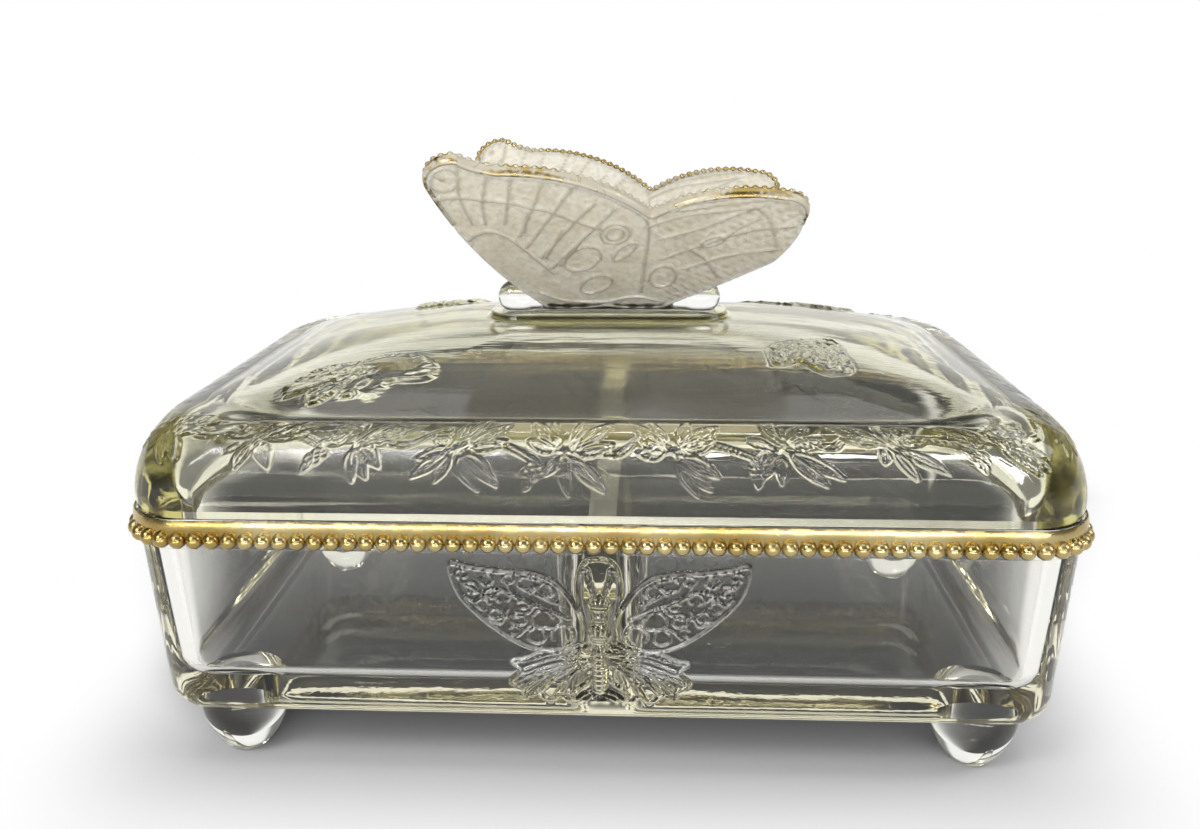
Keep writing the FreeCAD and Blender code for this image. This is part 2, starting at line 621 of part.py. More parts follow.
def wing_gilt_face(doc, outline):
    """Strip just inside the wing's outline, kept along the tips and the top only."""
    inner = outline.makeOffset2D(-size_of(doc, "dims.wing_gilt"))
    strip = Part.Face(outline).cut(Part.Face(inner))
    reach, height = size_of(doc, "dims.wing_length"), size_of(doc, "dims.wing_height")
    upper = Part.makePlane(2 * reach, height, FreeCAD.Vector(-reach, height * WING_GILT_FLOOR_SHARE, 0))
    return strip.common(upper)


def wing_placement(doc):
    """Place of the front wing: stood up, leaned out and set on the body's axis."""
    upright = FreeCAD.Rotation(FreeCAD.Vector(1, 0, 0), 90 + WING_LEAN_DEGREES)
    foot = FreeCAD.Vector(0, -size_of(doc, "dims.wing_root"), size_of(doc, BODY_AXIS))
    return FreeCAD.Placement(foot, upright)


def wing_pair(doc, name, face):
    """Plates of wing thickness on a face: the front one and its mirror image behind."""
    drawn = doc.addObject("Part::Feature", f"{name}_face")
    drawn.Shape = face
    drawn.Placement = wing_placement(doc)
    front = doc.addObject("Part::Extrusion", f"{name}_front")
    front.Base = drawn
    front.DirMode = "Normal"
    front.Solid = True
    front.Symmetric = True
    front.setExpression("LengthFwd", "dims.wing_thickness")
    back = doc.addObject("Part::Mirroring", f"{name}_back")
    back.Source = front
    back.Normal = FreeCAD.Vector(0, 1, 0)
    return [front, back]


def make_finial(doc):
    """Frosted butterfly and the gilt edges of its wings."""
    outline = wing_outline(doc)
    gilt_face = wing_gilt_face(doc, outline)
    wings = wing_pair(doc, "wing", Part.Face(outline).cut(gilt_face))
    gilt = doc.addObject("Part::Compound", "gilt_wing_edges")
    gilt.Links = wing_pair(doc, "wing_gilt", gilt_face)
    body = doc.addObject("Part::Cylinder", "butterfly_body")
    body.setExpression("Radius", "dims.finial_radius")
    body.setExpression("Height", "dims.finial_length - 2 * dims.finial_radius")
    body.Placement.Rotation = FreeCAD.Rotation(FreeCAD.Vector(0, 1, 0), 90)
    body.setExpression("Placement.Base.x", "dims.finial_radius - dims.finial_length / 2")
    body.setExpression("Placement.Base.z", BODY_AXIS)
    ends = []
    for side, sign in (("left", "-1"), ("right", "1")):
        end = doc.addObject("Part::Sphere", f"butterfly_{side}_end")
        end.setExpression("Radius", "dims.finial_radius")
        end.setExpression("Placement.Base.x", f"{sign} * (dims.finial_length / 2 - dims.finial_radius)")
        end.setExpression("Placement.Base.z", BODY_AXIS)
        ends.append(end)
    whole = doc.addObject("Part::MultiFuse", "butterfly_whole")
    whole.Shapes = [body, *ends, *wings]
    below = doc.addObject("Part::Box", "butterfly_seat")
    below.setExpression("Length", "dims.finial_length")
    below.setExpression("Width", "4 * dims.finial_radius")
    below.setExpression("Height", "dims.finial_radius")
    below.setExpression("Placement.Base.x", "-dims.finial_length / 2")
    below.setExpression("Placement.Base.y", "-2 * dims.finial_radius")
    below.setExpression("Placement.Base.z", f"{SEAT} - dims.finial_radius")
    finial = doc.addObject("Part::Cut", "butterfly_finial")
    finial.Base = whole
    finial.Tool = below
    return [finial, gilt]


def export(doc, nodes):
    """Check every object, then write one STEP file for each node."""
    doc.recompute()
    for thing in doc.Objects:
        if {"Invalid", "Error"} & set(thing.State):
            raise RuntimeError(f"{thing.Name} did not compute: {thing.State}")
    os.makedirs("parts", exist_ok=True)
    for node in nodes:
        if node.Shape.isNull() or not node.Shape.isValid():
            raise RuntimeError(f"{node.Label} has no valid shape")
        node.Shape.exportStep(f"parts/{node.Label}.step")


def main():
    """Build the box in a new document and write its nodes."""
    doc = FreeCAD.newDocument("cigarette_box")
    new_sheet(doc)
    nodes = [make_base_tray(doc), make_gilt_bead_band(doc), make_lid_shell(doc), *make_finial(doc)]
    export(doc, nodes)


main()
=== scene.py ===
"""Footed cigarette box of pressed glass: base, lift-off lid, butterfly finial and fired gold.

Sizes are in millimetres in the part's own frame and become metres when a mesh is made.
"""

import logging
import math
from dataclasses import dataclass
from enum import Enum

import bmesh
import bpy
import numpy as np
from mathutils import Matrix


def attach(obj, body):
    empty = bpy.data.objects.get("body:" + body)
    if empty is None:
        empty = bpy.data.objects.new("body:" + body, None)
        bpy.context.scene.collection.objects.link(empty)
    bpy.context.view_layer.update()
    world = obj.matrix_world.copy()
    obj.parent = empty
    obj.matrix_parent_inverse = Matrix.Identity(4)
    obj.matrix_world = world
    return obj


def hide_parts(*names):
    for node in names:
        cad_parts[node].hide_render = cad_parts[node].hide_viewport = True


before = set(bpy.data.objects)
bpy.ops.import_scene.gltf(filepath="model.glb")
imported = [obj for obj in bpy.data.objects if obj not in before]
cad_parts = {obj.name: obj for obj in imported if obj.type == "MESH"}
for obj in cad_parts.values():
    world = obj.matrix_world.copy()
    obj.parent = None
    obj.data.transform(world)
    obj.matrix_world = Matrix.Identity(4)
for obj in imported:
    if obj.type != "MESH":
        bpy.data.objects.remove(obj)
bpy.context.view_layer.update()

LOG = logging.getLogger("cigarette_box")
MM = 0.001
MERGE = 1e-6
TURN = 2 * math.pi
SHARP = 60.0


class Side(Enum):
    """Long side of the box, by the sign of its y."""

    FRONT = -1
    BACK = 1


class Slot(Enum):
    """Material slots of the record."""

    CLEAR = "clear_glass"
    FROSTED = "frosted_glass"
    GOLD = "fired_gold"


class Body(Enum):
    """Moving bodies of the frame."""

    BASE = "base"
    LID = "lid"


def smooth_curve(points: np.ndarray, count: int) -> np.ndarray:
    """Curve through points: on each span the cubic whose end slopes are half the chord of the neighbours.

    Args:
        points: places along the curve, one a row.
        count: places wanted on the finished curve.

    Returns:
        The places, evenly spread over the spans.
    """
    ends = np.vstack([2 * points[0] - points[1], points, 2 * points[-1] - points[-2]])
    place = np.linspace(0, len(points) - 1, count)
    span = np.minimum(place.astype(int), len(points) - 2)
    part = (place - span)[:, None]
    before, start, end, after = (ends[span + step] for step in range(4))
    return 0.5 * (
        2 * start + (end - before) * part
        + (2 * before - 5 * start + 4 * end - after) * part ** 2
        + (3 * start - before - 3 * end + after) * part ** 3
    )


def even_steps(path: np.ndarray, count: int) -> np.ndarray:
    """Places at equal lengths along a path of straight steps.

    Args:
        path: corners of the path, one a row.
        count: places wanted, both ends among them.

    Returns:
        The places, one a row.
    """
    lengths = np.concatenate([[0], np.cumsum(np.linalg.norm(np.diff(path, axis=0), axis=1))])
    marks = np.linspace(0, lengths[-1], count)
    return np.stack([np.interp(marks, lengths, column) for column in path.T], axis=-1)


def ramp(value: np.ndarray, low: float, high: float) -> np.ndarray:
    """Smooth step from 0 at low to 1 at high: three times the square less twice the cube."""
    share = np.clip((value - low) / (high - low), 0, 1)
    return share ** 2 * (3 - 2 * share)


class Relief:
    """Height of an ornament above a plain surface, over the surface's own two directions."""

    def __init__(self, along: np.ndarray, up: np.ndarray) -> None:
        """Starts flat.

        Args:
            along: first coordinate of every grid place, in millimetres.
            up: second coordinate of every grid place, in millimetres.
        """
        self.along, self.up = along, up
        self.height = np.zeros(along.shape)

    def raise_to(self, height: np.ndarray) -> None:
        """Keeps the higher of the ornament so far and a new height."""
        self.height = np.maximum(self.height, height)

    def gap_to(self, path: np.ndarray, reach: float) -> np.ndarray:
        """Distance from every place to a path of straight steps, held at reach.

        Args:
            path: corners of the path, one a row.
            reach: distance beyond which the exact value is not needed.

        Returns:
            The distances, on the grid.
        """
        gap = np.full(self.along.shape, reach)
        low, high = path.min(axis=0) - reach, path.max(axis=0) + reach
        near = (self.along > low[0]) & (self.along < high[0]) & (self.up > low[1]) & (self.up < high[1])
        if near.any():
            place = np.stack([self.along[near], self.up[near]], axis=-1)[:, None, :]
            start, step = path[:-1], np.diff(path, axis=0)
            share = ((place - start) * step).sum(-1) / np.maximum((step ** 2).sum(-1), MERGE)
            off = place - start - np.clip(share, 0, 1)[..., None] * step
            gap[near] = np.minimum(np.sqrt((off ** 2).sum(-1)).min(axis=1), reach)
        return gap

    def line(self, path: np.ndarray, width: float, rise: float) -> None:
        """Rounded ridge along a path: the squared difference of one and the squared share of the width.

        Args:
            path: corners of the path, one a row.
            width: distance from the path at which the ridge ends.
            rise: height on the path.
        """
        share = self.gap_to(path, width) / width
        self.raise_to(rise * np.clip(1 - share ** 2, 0, None) ** 2)

    def ring(self, centre: tuple[float, float], radius: float, width: float, rise: float,
             start: float = 0.0, sweep: float = 360.0) -> None:
        """Ridge round a circle or part of one.

        Args:
            centre: middle of the circle.
            radius: its radius.
            width: distance from the circle at which the ridge ends.
            rise: height on the circle.
            start: direction of the first end, in degrees.
            sweep: how far round it goes, in degrees.
        """
        angle = np.radians(np.linspace(start, start + sweep, 25))
        path = np.stack([centre[0] + radius * np.cos(angle), centre[1] + radius * np.sin(angle)], axis=-1)
        self.line(path, width, rise)

    def dome(self, centre: tuple[float, float], radii: tuple[float, float], rise: float) -> None:
        """Half ellipsoid: height is the root of one less the squared share of the radii."""
        share = ((self.along - centre[0]) / radii[0]) ** 2 + ((self.up - centre[1]) / radii[1]) ** 2
        self.raise_to(rise * np.sqrt(np.clip(1 - share, 0, None)))

    def plate(self, outline: np.ndarray, rise: float, soft: float) -> None:
        """Flat raised plate: inside is where a line to the right crosses the outline an odd number of times.

        Args:
            outline: corners of the closed outline, one a row, first and last alike.
            rise: height of the plate.
            soft: width of its rounded edge.
        """
        low, high = outline.min(axis=0), outline.max(axis=0)
        near = (self.along > low[0]) & (self.along < high[0]) & (self.up > low[1]) & (self.up < high[1])
        if near.any():
            along, up = self.along[near][:, None], self.up[near][:, None]
            (x0, y0), (x1, y1) = outline[:-1].T, outline[1:].T
            flat = np.where(np.abs(y1 - y0) < MERGE, MERGE, y1 - y0)
            crossed = ((y0 > up) != (y1 > up)) & (along < x0 + (up - y0) * (x1 - x0) / flat)
            within = np.zeros(self.along.shape, bool)
            within[near] = crossed.sum(axis=1) % 2 == 1
            edge = ramp(self.gap_to(outline, soft), 0, soft)
            self.raise_to(np.where(within, rise * edge, 0))

    def leaf(self, foot: tuple[float, float], angle: float, length: float, width: float, bend: float,
             rise: float) -> None:
        """Long leaf: a low pillow with a raised edge and midrib, its half width the sine of a power of its length.

        Args:
            foot: where the leaf leaves its stem.
            angle: its direction, in degrees.
            length: foot to tip.
            width: widest part, edge to edge.
            bend: how far the tip drifts to its left.
            rise: height of the edge and midrib.
        """
        turn = math.radians(angle)
        east, north = self.along - foot[0], self.up - foot[1]
        share = (east * math.cos(turn) + north * math.sin(turn)) / length
        across = north * math.cos(turn) - east * math.sin(turn) - bend * share ** 2
        on = (share > 0) & (share < 1)
        half = np.where(on, 0.5 * width * np.sin(math.pi * np.clip(share, 0, 1) ** 0.8), 0)
        pillow = 0.35 * rise * ramp(half - np.abs(across), 0, 0.3)
        edge = np.clip(1 - ((np.abs(across) - half) / 0.34) ** 2, 0, None)
        rib = np.clip(1 - (across / 0.3) ** 2, 0, None) * ramp(1 - share, 0.05, 0.3)
        self.raise_to(np.where(on, np.maximum(pillow, rise * np.maximum(edge, 0.8 * rib)), 0))


class Shell:
    """Grids of points, in millimetres, that join into one closed mesh."""

    def __init__(self) -> None:
        """Starts empty."""
        self.points: list[np.ndarray] = []
        self.faces: list[list[int]] = []
        self.count = 0

    def _number(self, points: np.ndarray) -> np.ndarray:
        """Takes in points.

        Args:
            points: places, with a last axis of three.

        Returns:
            Their numbers, in the same layout.
        """
        flat = points.reshape(-1, 3)
        numbers = self.count + np.arange(len(flat)).reshape(points.shape[:-1])
        self.points.append(flat)
        self.count += len(flat)
        return numbers

    def grid(self, points: np.ndarray, wrap: bool = False) -> None:
        """Adds a grid of four-sided faces.

        Args:
            points: rows by columns by three.
            wrap: whether the last column joins the first.
        """
        left = self._number(points)
        right = np.roll(left, -1, axis=1)
        if not wrap:
            left, right = left[:, :-1], right[:, :-1]
        faces = np.stack([left[:-1], right[:-1], right[1:], left[1:]], axis=-1)
        self.faces += faces.reshape(-1, 4).tolist()

    def step(self, fine: np.ndarray, coarse: np.ndarray, chosen: np.ndarray) -> None:
        """Joins a closed loop to one with only chosen places of it: fans from the coarse places, then their bases.

        Args:
            fine: points of the finer loop, one a row.
            coarse: points of the coarser loop, one a row.
            chosen: number of the fine place at each coarse one, in order, the first being 0.
        """
        near, far = self._number(fine), self._number(coarse)
        owner = np.searchsorted(chosen, np.arange(len(fine)), side="right") - 1
        fans = np.stack([near, np.roll(near, -1), far[owner]], axis=-1)
        bases = np.stack([np.roll(near[chosen], -1), np.roll(far, -1), far], axis=-1)
        self.faces += fans.tolist() + bases.tolist()

    def make(self, name: str, sharp: float = SHARP) -> bpy.types.Object:
        """Merges doubles, turns faces outwards and links the finished piece.

        Args:
            name: name of the piece.
            sharp: edges sharper than this many degrees stay sharp in the shading.

        Returns:
            The new object, at the origin.
        """
        mesh = bpy.data.meshes.new(name)
        mesh.from_pydata((np.concatenate(self.points) * MM).tolist(), [], self.faces)
        work = bmesh.new()
        work.from_mesh(mesh)
        bmesh.ops.remove_doubles(work, verts=work.verts, dist=MERGE)
        bmesh.ops.recalc_face_normals(work, faces=work.faces)
        work.to_mesh(mesh)
        work.free()
        mesh.shade_smooth()
        mesh.set_sharp_from_angle(angle=math.radians(sharp))
        piece = bpy.data.objects.new(name, mesh)
        bpy.context.scene.collection.objects.link(piece)
        return piece


@dataclass(frozen=True)
class Ring:
    """Places round a rounded rectangle, each a share of the way to a corner centre and an outward direction."""

    share: np.ndarray
    outward: np.ndarray

    @classmethod
    def around(cls, sides: tuple[np.ndarray, ...], turns: tuple[int, ...]) -> "Ring":
        """Ring that runs along the front, up the right, back along the rear and down the left.

        Args:
            sides: shares on the front, right, rear and left, in the order walked.
            turns: places on the corner after each side, its far end left out.

        Returns:
            The ring.
        """
        shares, outwards = [], []
        for number, (line, count) in enumerate(zip(sides, turns)):
            out = np.array(((0, -1), (1, 0), (0, 1), (-1, 0))[number], float)
            fixed = np.full(line.shape, out.sum())
            shares.append(np.stack([line, fixed] if number % 2 == 0 else [fixed, line], axis=-1))
            outwards.append(np.tile(out, (len(line), 1)))
            turn = math.atan2(out[1], out[0]) + np.linspace(0, math.pi / 2, count, endpoint=False)[1:]
            shares.append(np.tile(shares[-1][-1], (len(turn), 1)))
            outwards.append(np.stack([np.cos(turn), np.sin(turn)], axis=-1))
        return cls(np.concatenate(shares), np.concatenate(outwards))

    @classmethod
    def even(cls, along: np.ndarray, across: np.ndarray, turns: int) -> "Ring":
        """Ring with the same shares, from -1 to 1, on both long sides and on both short sides."""
        return cls.around((along, across, -along, -across), (turns,) * 4)

    def thinned(self, lines: int, corners: int) -> np.ndarray:
        """Numbers of the places left when only some of those on the straight sides and on the corners are kept.

        Args:
            lines: one in so many is kept on a straight side.
            corners: one in so many is kept on a corner.

        Returns:
            The numbers, in order.
        """
        straight = np.abs(self.outward).max(axis=1) > 1 - MERGE
        on_line = np.cumsum(straight) % lines == 1 % lines
        on_corner = np.cumsum(~straight) % corners == 0
        return np.flatnonzero(np.where(straight, on_line, on_corner))

    def pick(self, chosen: np.ndarray) -> "Ring":
        """The same ring with only the places of the given numbers."""
        return Ring(self.share[chosen], self.outward[chosen])

    def loops(self, half_x: np.ndarray, half_y: np.ndarray, corner: np.ndarray, level: np.ndarray) -> np.ndarray:
        """Loops of the ring: corner centre times share, plus the corner radius times the outward direction.

        Args:
            half_x: half length of each loop.
            half_y: half width of each loop.
            corner: corner radius of each loop.
            level: height of each loop.

        Returns:
            Loops by places by three.
        """
        half = np.stack(np.broadcast_arrays(half_x, half_y), axis=-1).astype(float)
        corner, level = (np.broadcast_to(np.asarray(value, float), half.shape[:1]) for value in (corner, level))
        plan = (half - corner[:, None])[:, None, :] * self.share + corner[:, None, None] * self.outward
        return np.concatenate([plan, np.broadcast_to(level[:, None, None], plan.shape[:2] + (1,))], axis=-1)


def dress(piece: bpy.types.Object, material: bpy.types.Material, body: Body, slot: Slot, *nodes: str) -> None:
    """Gives a finished piece its material and its body, and hides the CAD nodes that it stands for.

    Args:
        piece: the finished object.
        material: what it is made of.
        body: the body that carries it.
        slot: the record's slot for its finish; not used.
        nodes: CAD nodes that it replaces.
    """
    piece.data.materials.clear()
    piece.data.materials.append(material)
    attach(piece, body.value)
    if nodes:
        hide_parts(*nodes)
    LOG.info("%s: %d faces on %s", piece.name, len(piece.data.polygons), body.value)


def vertex_places(piece: bpy.types.Object) -> np.ndarray:
    """Reads where a piece's vertices are.

    Args:
        piece: the object to read.

    Returns:
        Their places, in millimetres, one a row.
    """
    places = np.empty(3 * len(piece.data.vertices))
    piece.data.vertices.foreach_get("co", places)
    return places.reshape(-1, 3) / MM


def mark(piece: bpy.types.Object, name: str, values: np.ndarray) -> None:
    """Keeps a value from 0 to 1 at every vertex for the finish to read."""
    attribute = piece.data.attributes.new(name, "FLOAT", "POINT")
    attribute.data.foreach_set("value", values.astype(np.float32))


class Tree:
    """Shader nodes of one material or group, placed and wired by name."""

    def __init__(self, tree: bpy.types.NodeTree) -> None:
        """Wraps an empty node tree."""
        self.tree = tree

    def add(self, kind: str, settings: dict[str, object] | None = None, **inputs: object) -> bpy.types.Node:
        """Adds a node, sets its properties, and sets or wires its inputs.

        Args:
            kind: Blender's name of the node type.
            settings: properties of the node.
            inputs: values or output sockets, by input name with underscores for spaces.

        Returns:
            The new node.
        """
        node = self.tree.nodes.new(kind)
        for name, value in (settings or {}).items():
            setattr(node, name, value)
        for name, value in inputs.items():
            self.wire(node.inputs[name.replace("_", " ")], value)
        return node

    def wire(self, socket: bpy.types.NodeSocket, value: object) -> None:
        """Links an output socket to an input, or sets the input's own value.

        Args:
            socket: the input.
            value: an output socket or a plain value.
        """
        if isinstance(value, bpy.types.NodeSocket):
            self.tree.links.new(value, socket)
        else:
            socket.default_value = value

    def math(self, operation: str, first: object, second: object = 0.5) -> bpy.types.NodeSocket:
        """Works out a sum.

        Args:
            operation: Blender's name of the sum.
            first: a value or an output socket.
            second: a value or an output socket.

        Returns:
            The socket of the result.
        """
        node = self.add("ShaderNodeMath", {"operation": operation})
        self.wire(node.inputs[0], first)
        self.wire(node.inputs[1], second)
        return node.outputs[0]

    def mix(self, share: object, first: object, second: object) -> bpy.types.NodeSocket:
        """Mixes two colours.

        Args:
            share: how far from the first to the second.
            first: a colour or an output socket.
            second: a colour or an output socket.

        Returns:
            The socket of the mixed colour.
        """
        node = self.add("ShaderNodeMix", {"data_type": "RGBA"})
        for name, value in (("Factor_Float", share), ("A_Color", first), ("B_Color", second)):
            self.wire(next(socket for socket in node.inputs if socket.identifier == name), value)
        return next(socket for socket in node.outputs if socket.identifier == "Result_Color")

    def steps(self, value: bpy.types.NodeSocket, low: float, high: float) -> bpy.types.NodeSocket:
        """Smooth step of a value from 0 at low to 1 at high."""
        settings = {"interpolation_type": "SMOOTHSTEP"}
        return self.add("ShaderNodeMapRange", settings, Value=value, From_Min=low, From_Max=high).outputs["Result"]


def new_material(name: str) -> tuple[bpy.types.Material, Tree, bpy.types.Node]:
    """Empty node material with its output.

    Args:
        name: name of the material.

    Returns:
        The material, its tree and its output node.
    """
    material = bpy.data.materials.new(name)
    material.use_nodes = True
    material.node_tree.nodes.clear()
    tree = Tree(material.node_tree)
    return material, tree, tree.add("ShaderNodeOutputMaterial")


class Patterns:
    """Shader groups that several finishes share."""

    def __init__(self) -> None:
        """Builds both groups once."""
        self.mould = self._mould_skin()
        self.wear = self._gold_wear()

    @staticmethod
    def _group(name: str, inputs: dict[str, float], outputs: tuple[str, ...]) -> tuple[Tree, dict, bpy.types.Node]:
        """Empty group with a vector input called Place.

        Args:
            name: name of the group.
            inputs: its number inputs and their values.
            outputs: names of its number outputs.

        Returns:
            Its tree, its input sockets by name and its output node.
        """
        group = bpy.data.node_groups.new(name, "ShaderNodeTree")
        group.interface.new_socket(name="Place", in_out="INPUT", socket_type="NodeSocketVector")
        for socket, value in inputs.items():
            made = group.interface.new_socket(name=socket, in_out="INPUT", socket_type="NodeSocketFloat")
            made.default_value = value
        for socket in outputs:
            group.interface.new_socket(name=socket, in_out="OUTPUT", socket_type="NodeSocketFloat")
        tree = Tree(group)
        entry = tree.add("NodeGroupInput")
        return tree, {socket.name: socket for socket in entry.outputs}, tree.add("NodeGroupOutput")

    def _mould_skin(self) -> bpy.types.NodeTree:
        """Skin that an iron mould leaves on glass: slow waves and a fine orange peel.

        Returns:
            The group, with a height and a mask of hazy places.
        """
        tree, given, out = self._group("mould_skin", {"Waves": 55.0, "Grain": 900.0}, ("Height", "Haze"))
        waves = tree.add("ShaderNodeTexNoise", Vector=given["Place"], Scale=given["Waves"], Detail=1.5)
        grain = tree.add("ShaderNodeTexNoise", Vector=given["Place"], Scale=given["Grain"], Detail=2.0)
        fine = tree.math("MULTIPLY", grain.outputs["Fac"], 0.12)
        tree.wire(out.inputs["Height"], tree.math("ADD", waves.outputs["Fac"], fine))
        tree.wire(out.inputs["Haze"], tree.steps(waves.outputs["Fac"], 0.35, 0.75))
        return tree.tree

    def _gold_wear(self) -> bpy.types.NodeTree:
        """Where fired gold is rubbed away: broad patches broken up by fine ones, more where a piece says so.

        Returns:
            The group, with a mask of bare places and a tone of the gold.
        """
        tree, given, out = self._group("gold_wear", {"Bare": 0.0, "Amount": 0.3}, ("Mask", "Tone"))
        broad = tree.add("ShaderNodeTexNoise", Vector=given["Place"], Scale=70.0, Detail=2.0)
        fine = tree.add("ShaderNodeTexNoise", Vector=given["Place"], Scale=900.0, Detail=3.0)
        both = tree.math("ADD", tree.math("MULTIPLY", broad.outputs["Fac"], 0.6),
                         tree.math("MULTIPLY", fine.outputs["Fac"], 0.4))
        level = tree.math("ADD", both, tree.math("ADD", given["Amount"], given["Bare"]))
        tree.wire(out.inputs["Mask"], tree.steps(level, 0.86, 1.0))
        tree.wire(out.inputs["Tone"], tree.steps(broad.outputs["Fac"], 0.3, 0.7))
        return tree.tree


@dataclass(frozen=True)
class ClearGlass:
    """Clear pressed glass with a faint straw tint that shows where it is thick."""

    name: str = "clear_pressed_glass"
    tint: tuple[float, float, float] = (0.985, 0.985, 0.97)
    depth_colour: tuple[float, float, float] = (0.88, 0.85, 0.66)
    density: float = 14.0
    refraction: float = 1.5
    wave_depth: float = 0.00012
    stretch: tuple[float, float, float] = (1.0, 1.0, 1.0)
    haze: float = 0.02

    def material(self, patterns: Patterns) -> bpy.types.Material:
        """Builds the finish.

        Args:
            patterns: shared shader groups.

        Returns:
            The material.
        """
        material, tree, out = new_material(self.name)
        place = tree.add("ShaderNodeVectorMath", {"operation": "MULTIPLY"})
        tree.wire(place.inputs[0], tree.add("ShaderNodeTexCoord").outputs["Object"])
        tree.wire(place.inputs[1], self.stretch)
        skin = tree.add("ShaderNodeGroup", {"node_tree": patterns.mould}, Place=place.outputs["Vector"],
                        Waves=60.0, Grain=500.0)
        bump = tree.add("ShaderNodeBump", Strength=0.35, Distance=self.wave_depth, Height=skin.outputs["Height"])
        rough = tree.math("MULTIPLY", skin.outputs["Haze"], self.haze)
        glass = tree.add(
            "ShaderNodeBsdfPrincipled", Base_Color=(*self.tint, 1), Metallic=0.0, Roughness=rough,
            IOR=self.refraction, Transmission_Weight=1.0, Normal=bump.outputs["Normal"],
        )
        depth = tree.add("ShaderNodeVolumeAbsorption", Color=(*self.depth_colour, 1), Density=self.density)
        tree.wire(out.inputs["Surface"], glass.outputs["BSDF"])
        tree.wire(out.inputs["Volume"], depth.outputs["Volume"])
        return material


@dataclass(frozen=True)
class FrostedGlass:
    """Acid-frosted glass: a pale satin skin, with painted shade along its raised veins."""

    pale: tuple[float, float, float] = (0.95, 0.90, 0.78)
    deep: tuple[float, float, float] = (0.87, 0.82, 0.67)
    # dark colour for the random grain and for the shade painted along the veins
    line: tuple[float, float, float] = (0.40, 0.36, 0.26)
    vein_shade_share: float = 0.7
    grain_share: float = 0.28
    transmission: float = 0.15

    def material(self, patterns: Patterns) -> bpy.types.Material:
        """Builds the finish.

        Args:
            patterns: shared shader groups.

        Returns:
            The material.
        """
        material, tree, out = new_material("acid_frosted_glass")
        place = tree.add("ShaderNodeTexCoord").outputs["Object"]
        vein = tree.add("ShaderNodeAttribute", {"attribute_name": "vein"}).outputs["Fac"]
        skin = tree.add("ShaderNodeGroup", {"node_tree": patterns.mould}, Place=place, Waves=140.0, Grain=2200.0)
        grain = tree.add("ShaderNodeGroup", {"node_tree": patterns.mould}, Place=place, Waves=850.0, Grain=4000.0)
        satin = tree.mix(skin.outputs["Haze"], (*self.pale, 1), (*self.deep, 1))
        satin = tree.mix(tree.math("MULTIPLY", grain.outputs["Haze"], self.grain_share), satin, (*self.line, 1))
        # painted shade: the colour darkens along the raised veins and hatching
        colour = tree.mix(tree.math("MULTIPLY", vein, self.vein_shade_share), satin, (*self.line, 1))
        height = tree.math("ADD", skin.outputs["Height"], tree.math("MULTIPLY", grain.outputs["Height"], 0.6))
        bump = tree.add("ShaderNodeBump", Strength=0.7, Distance=0.0004, Height=height)
        rough = tree.math("ADD", 0.26, tree.math("MULTIPLY", skin.outputs["Haze"], 0.12))
        glass = tree.add(
            "ShaderNodeBsdfPrincipled", Base_Color=colour, Metallic=0.0, Roughness=rough, IOR=1.5,
            Transmission_Weight=self.transmission, Subsurface_Weight=1.0, Subsurface_Scale=0.0015,
            Subsurface_Radius=(1.0, 0.95, 0.85), Coat_Weight=0.5, Coat_Roughness=0.12,
            Normal=bump.outputs["Normal"],
        )
        tree.wire(out.inputs["Surface"], glass.outputs["BSDF"])
        return material


@dataclass(frozen=True)
class FiredGold:
    """Fired gold on moulded glass, rubbed through to pale glass in places."""

    warm: tuple[float, float, float] = (0.40, 0.29, 0.10)
    pale: tuple[float, float, float] = (0.58, 0.48, 0.25)
    bare: tuple[float, float, float] = (0.50, 0.46, 0.36)
    amount: float = 0.24

    def material(self, patterns: Patterns) -> bpy.types.Material:
        """Builds the finish.

        Args:
            patterns: shared shader groups.

        Returns:
            The material.
        """
        material, tree, out = new_material("fired_gold_on_glass")
        place = tree.add("ShaderNodeTexCoord").outputs["Object"]
        rubbed = tree.add("ShaderNodeAttribute", {"attribute_name": "rubbed"}).outputs["Fac"]
        wear = tree.add("ShaderNodeGroup", {"node_tree": patterns.wear}, Place=place, Bare=rubbed,
                        Amount=self.amount)
        skin = tree.add("ShaderNodeGroup", {"node_tree": patterns.mould}, Place=place, Waves=300.0, Grain=3000.0)
        gold = tree.mix(wear.outputs["Tone"], (*self.warm, 1), (*self.pale, 1))
        colour = tree.mix(wear.outputs["Mask"], gold, (*self.bare, 1))
        metal = tree.math("SUBTRACT", 1.0, wear.outputs["Mask"])
        rough = tree.math("ADD", 0.2, tree.math("MULTIPLY", skin.outputs["Haze"], 0.15))
        bump = tree.add("ShaderNodeBump", Strength=0.3, Distance=0.0001, Height=skin.outputs["Height"])
        film = tree.add(
            "ShaderNodeBsdfPrincipled", Base_Color=colour, Metallic=metal, Roughness=rough,
            Normal=bump.outputs["Normal"],
        )
        tree.wire(out.inputs["Surface"], film.outputs["BSDF"])
        return material


@dataclass(frozen=True)
class Finishes:
    """The finishes of the box, built once."""

    clear: bpy.types.Material
    lid: bpy.types.Material
    frosted: bpy.types.Material
    gold: bpy.types.Material

    @classmethod
    def build(cls) -> "Finishes":
        """Builds every finish on the shared patterns.

        Returns:
            The finishes.
        """
        patterns = Patterns()
        lid = ClearGlass("clear_lid_glass", depth_colour=(0.82, 0.78, 0.34), density=24.0, wave_depth=0.0007,
                         stretch=(0.14, 1.0, 1.0), haze=0.16)
        return cls(*(finish.material(patterns) for finish in (ClearGlass(), lid, FrostedGlass(), FiredGold())))


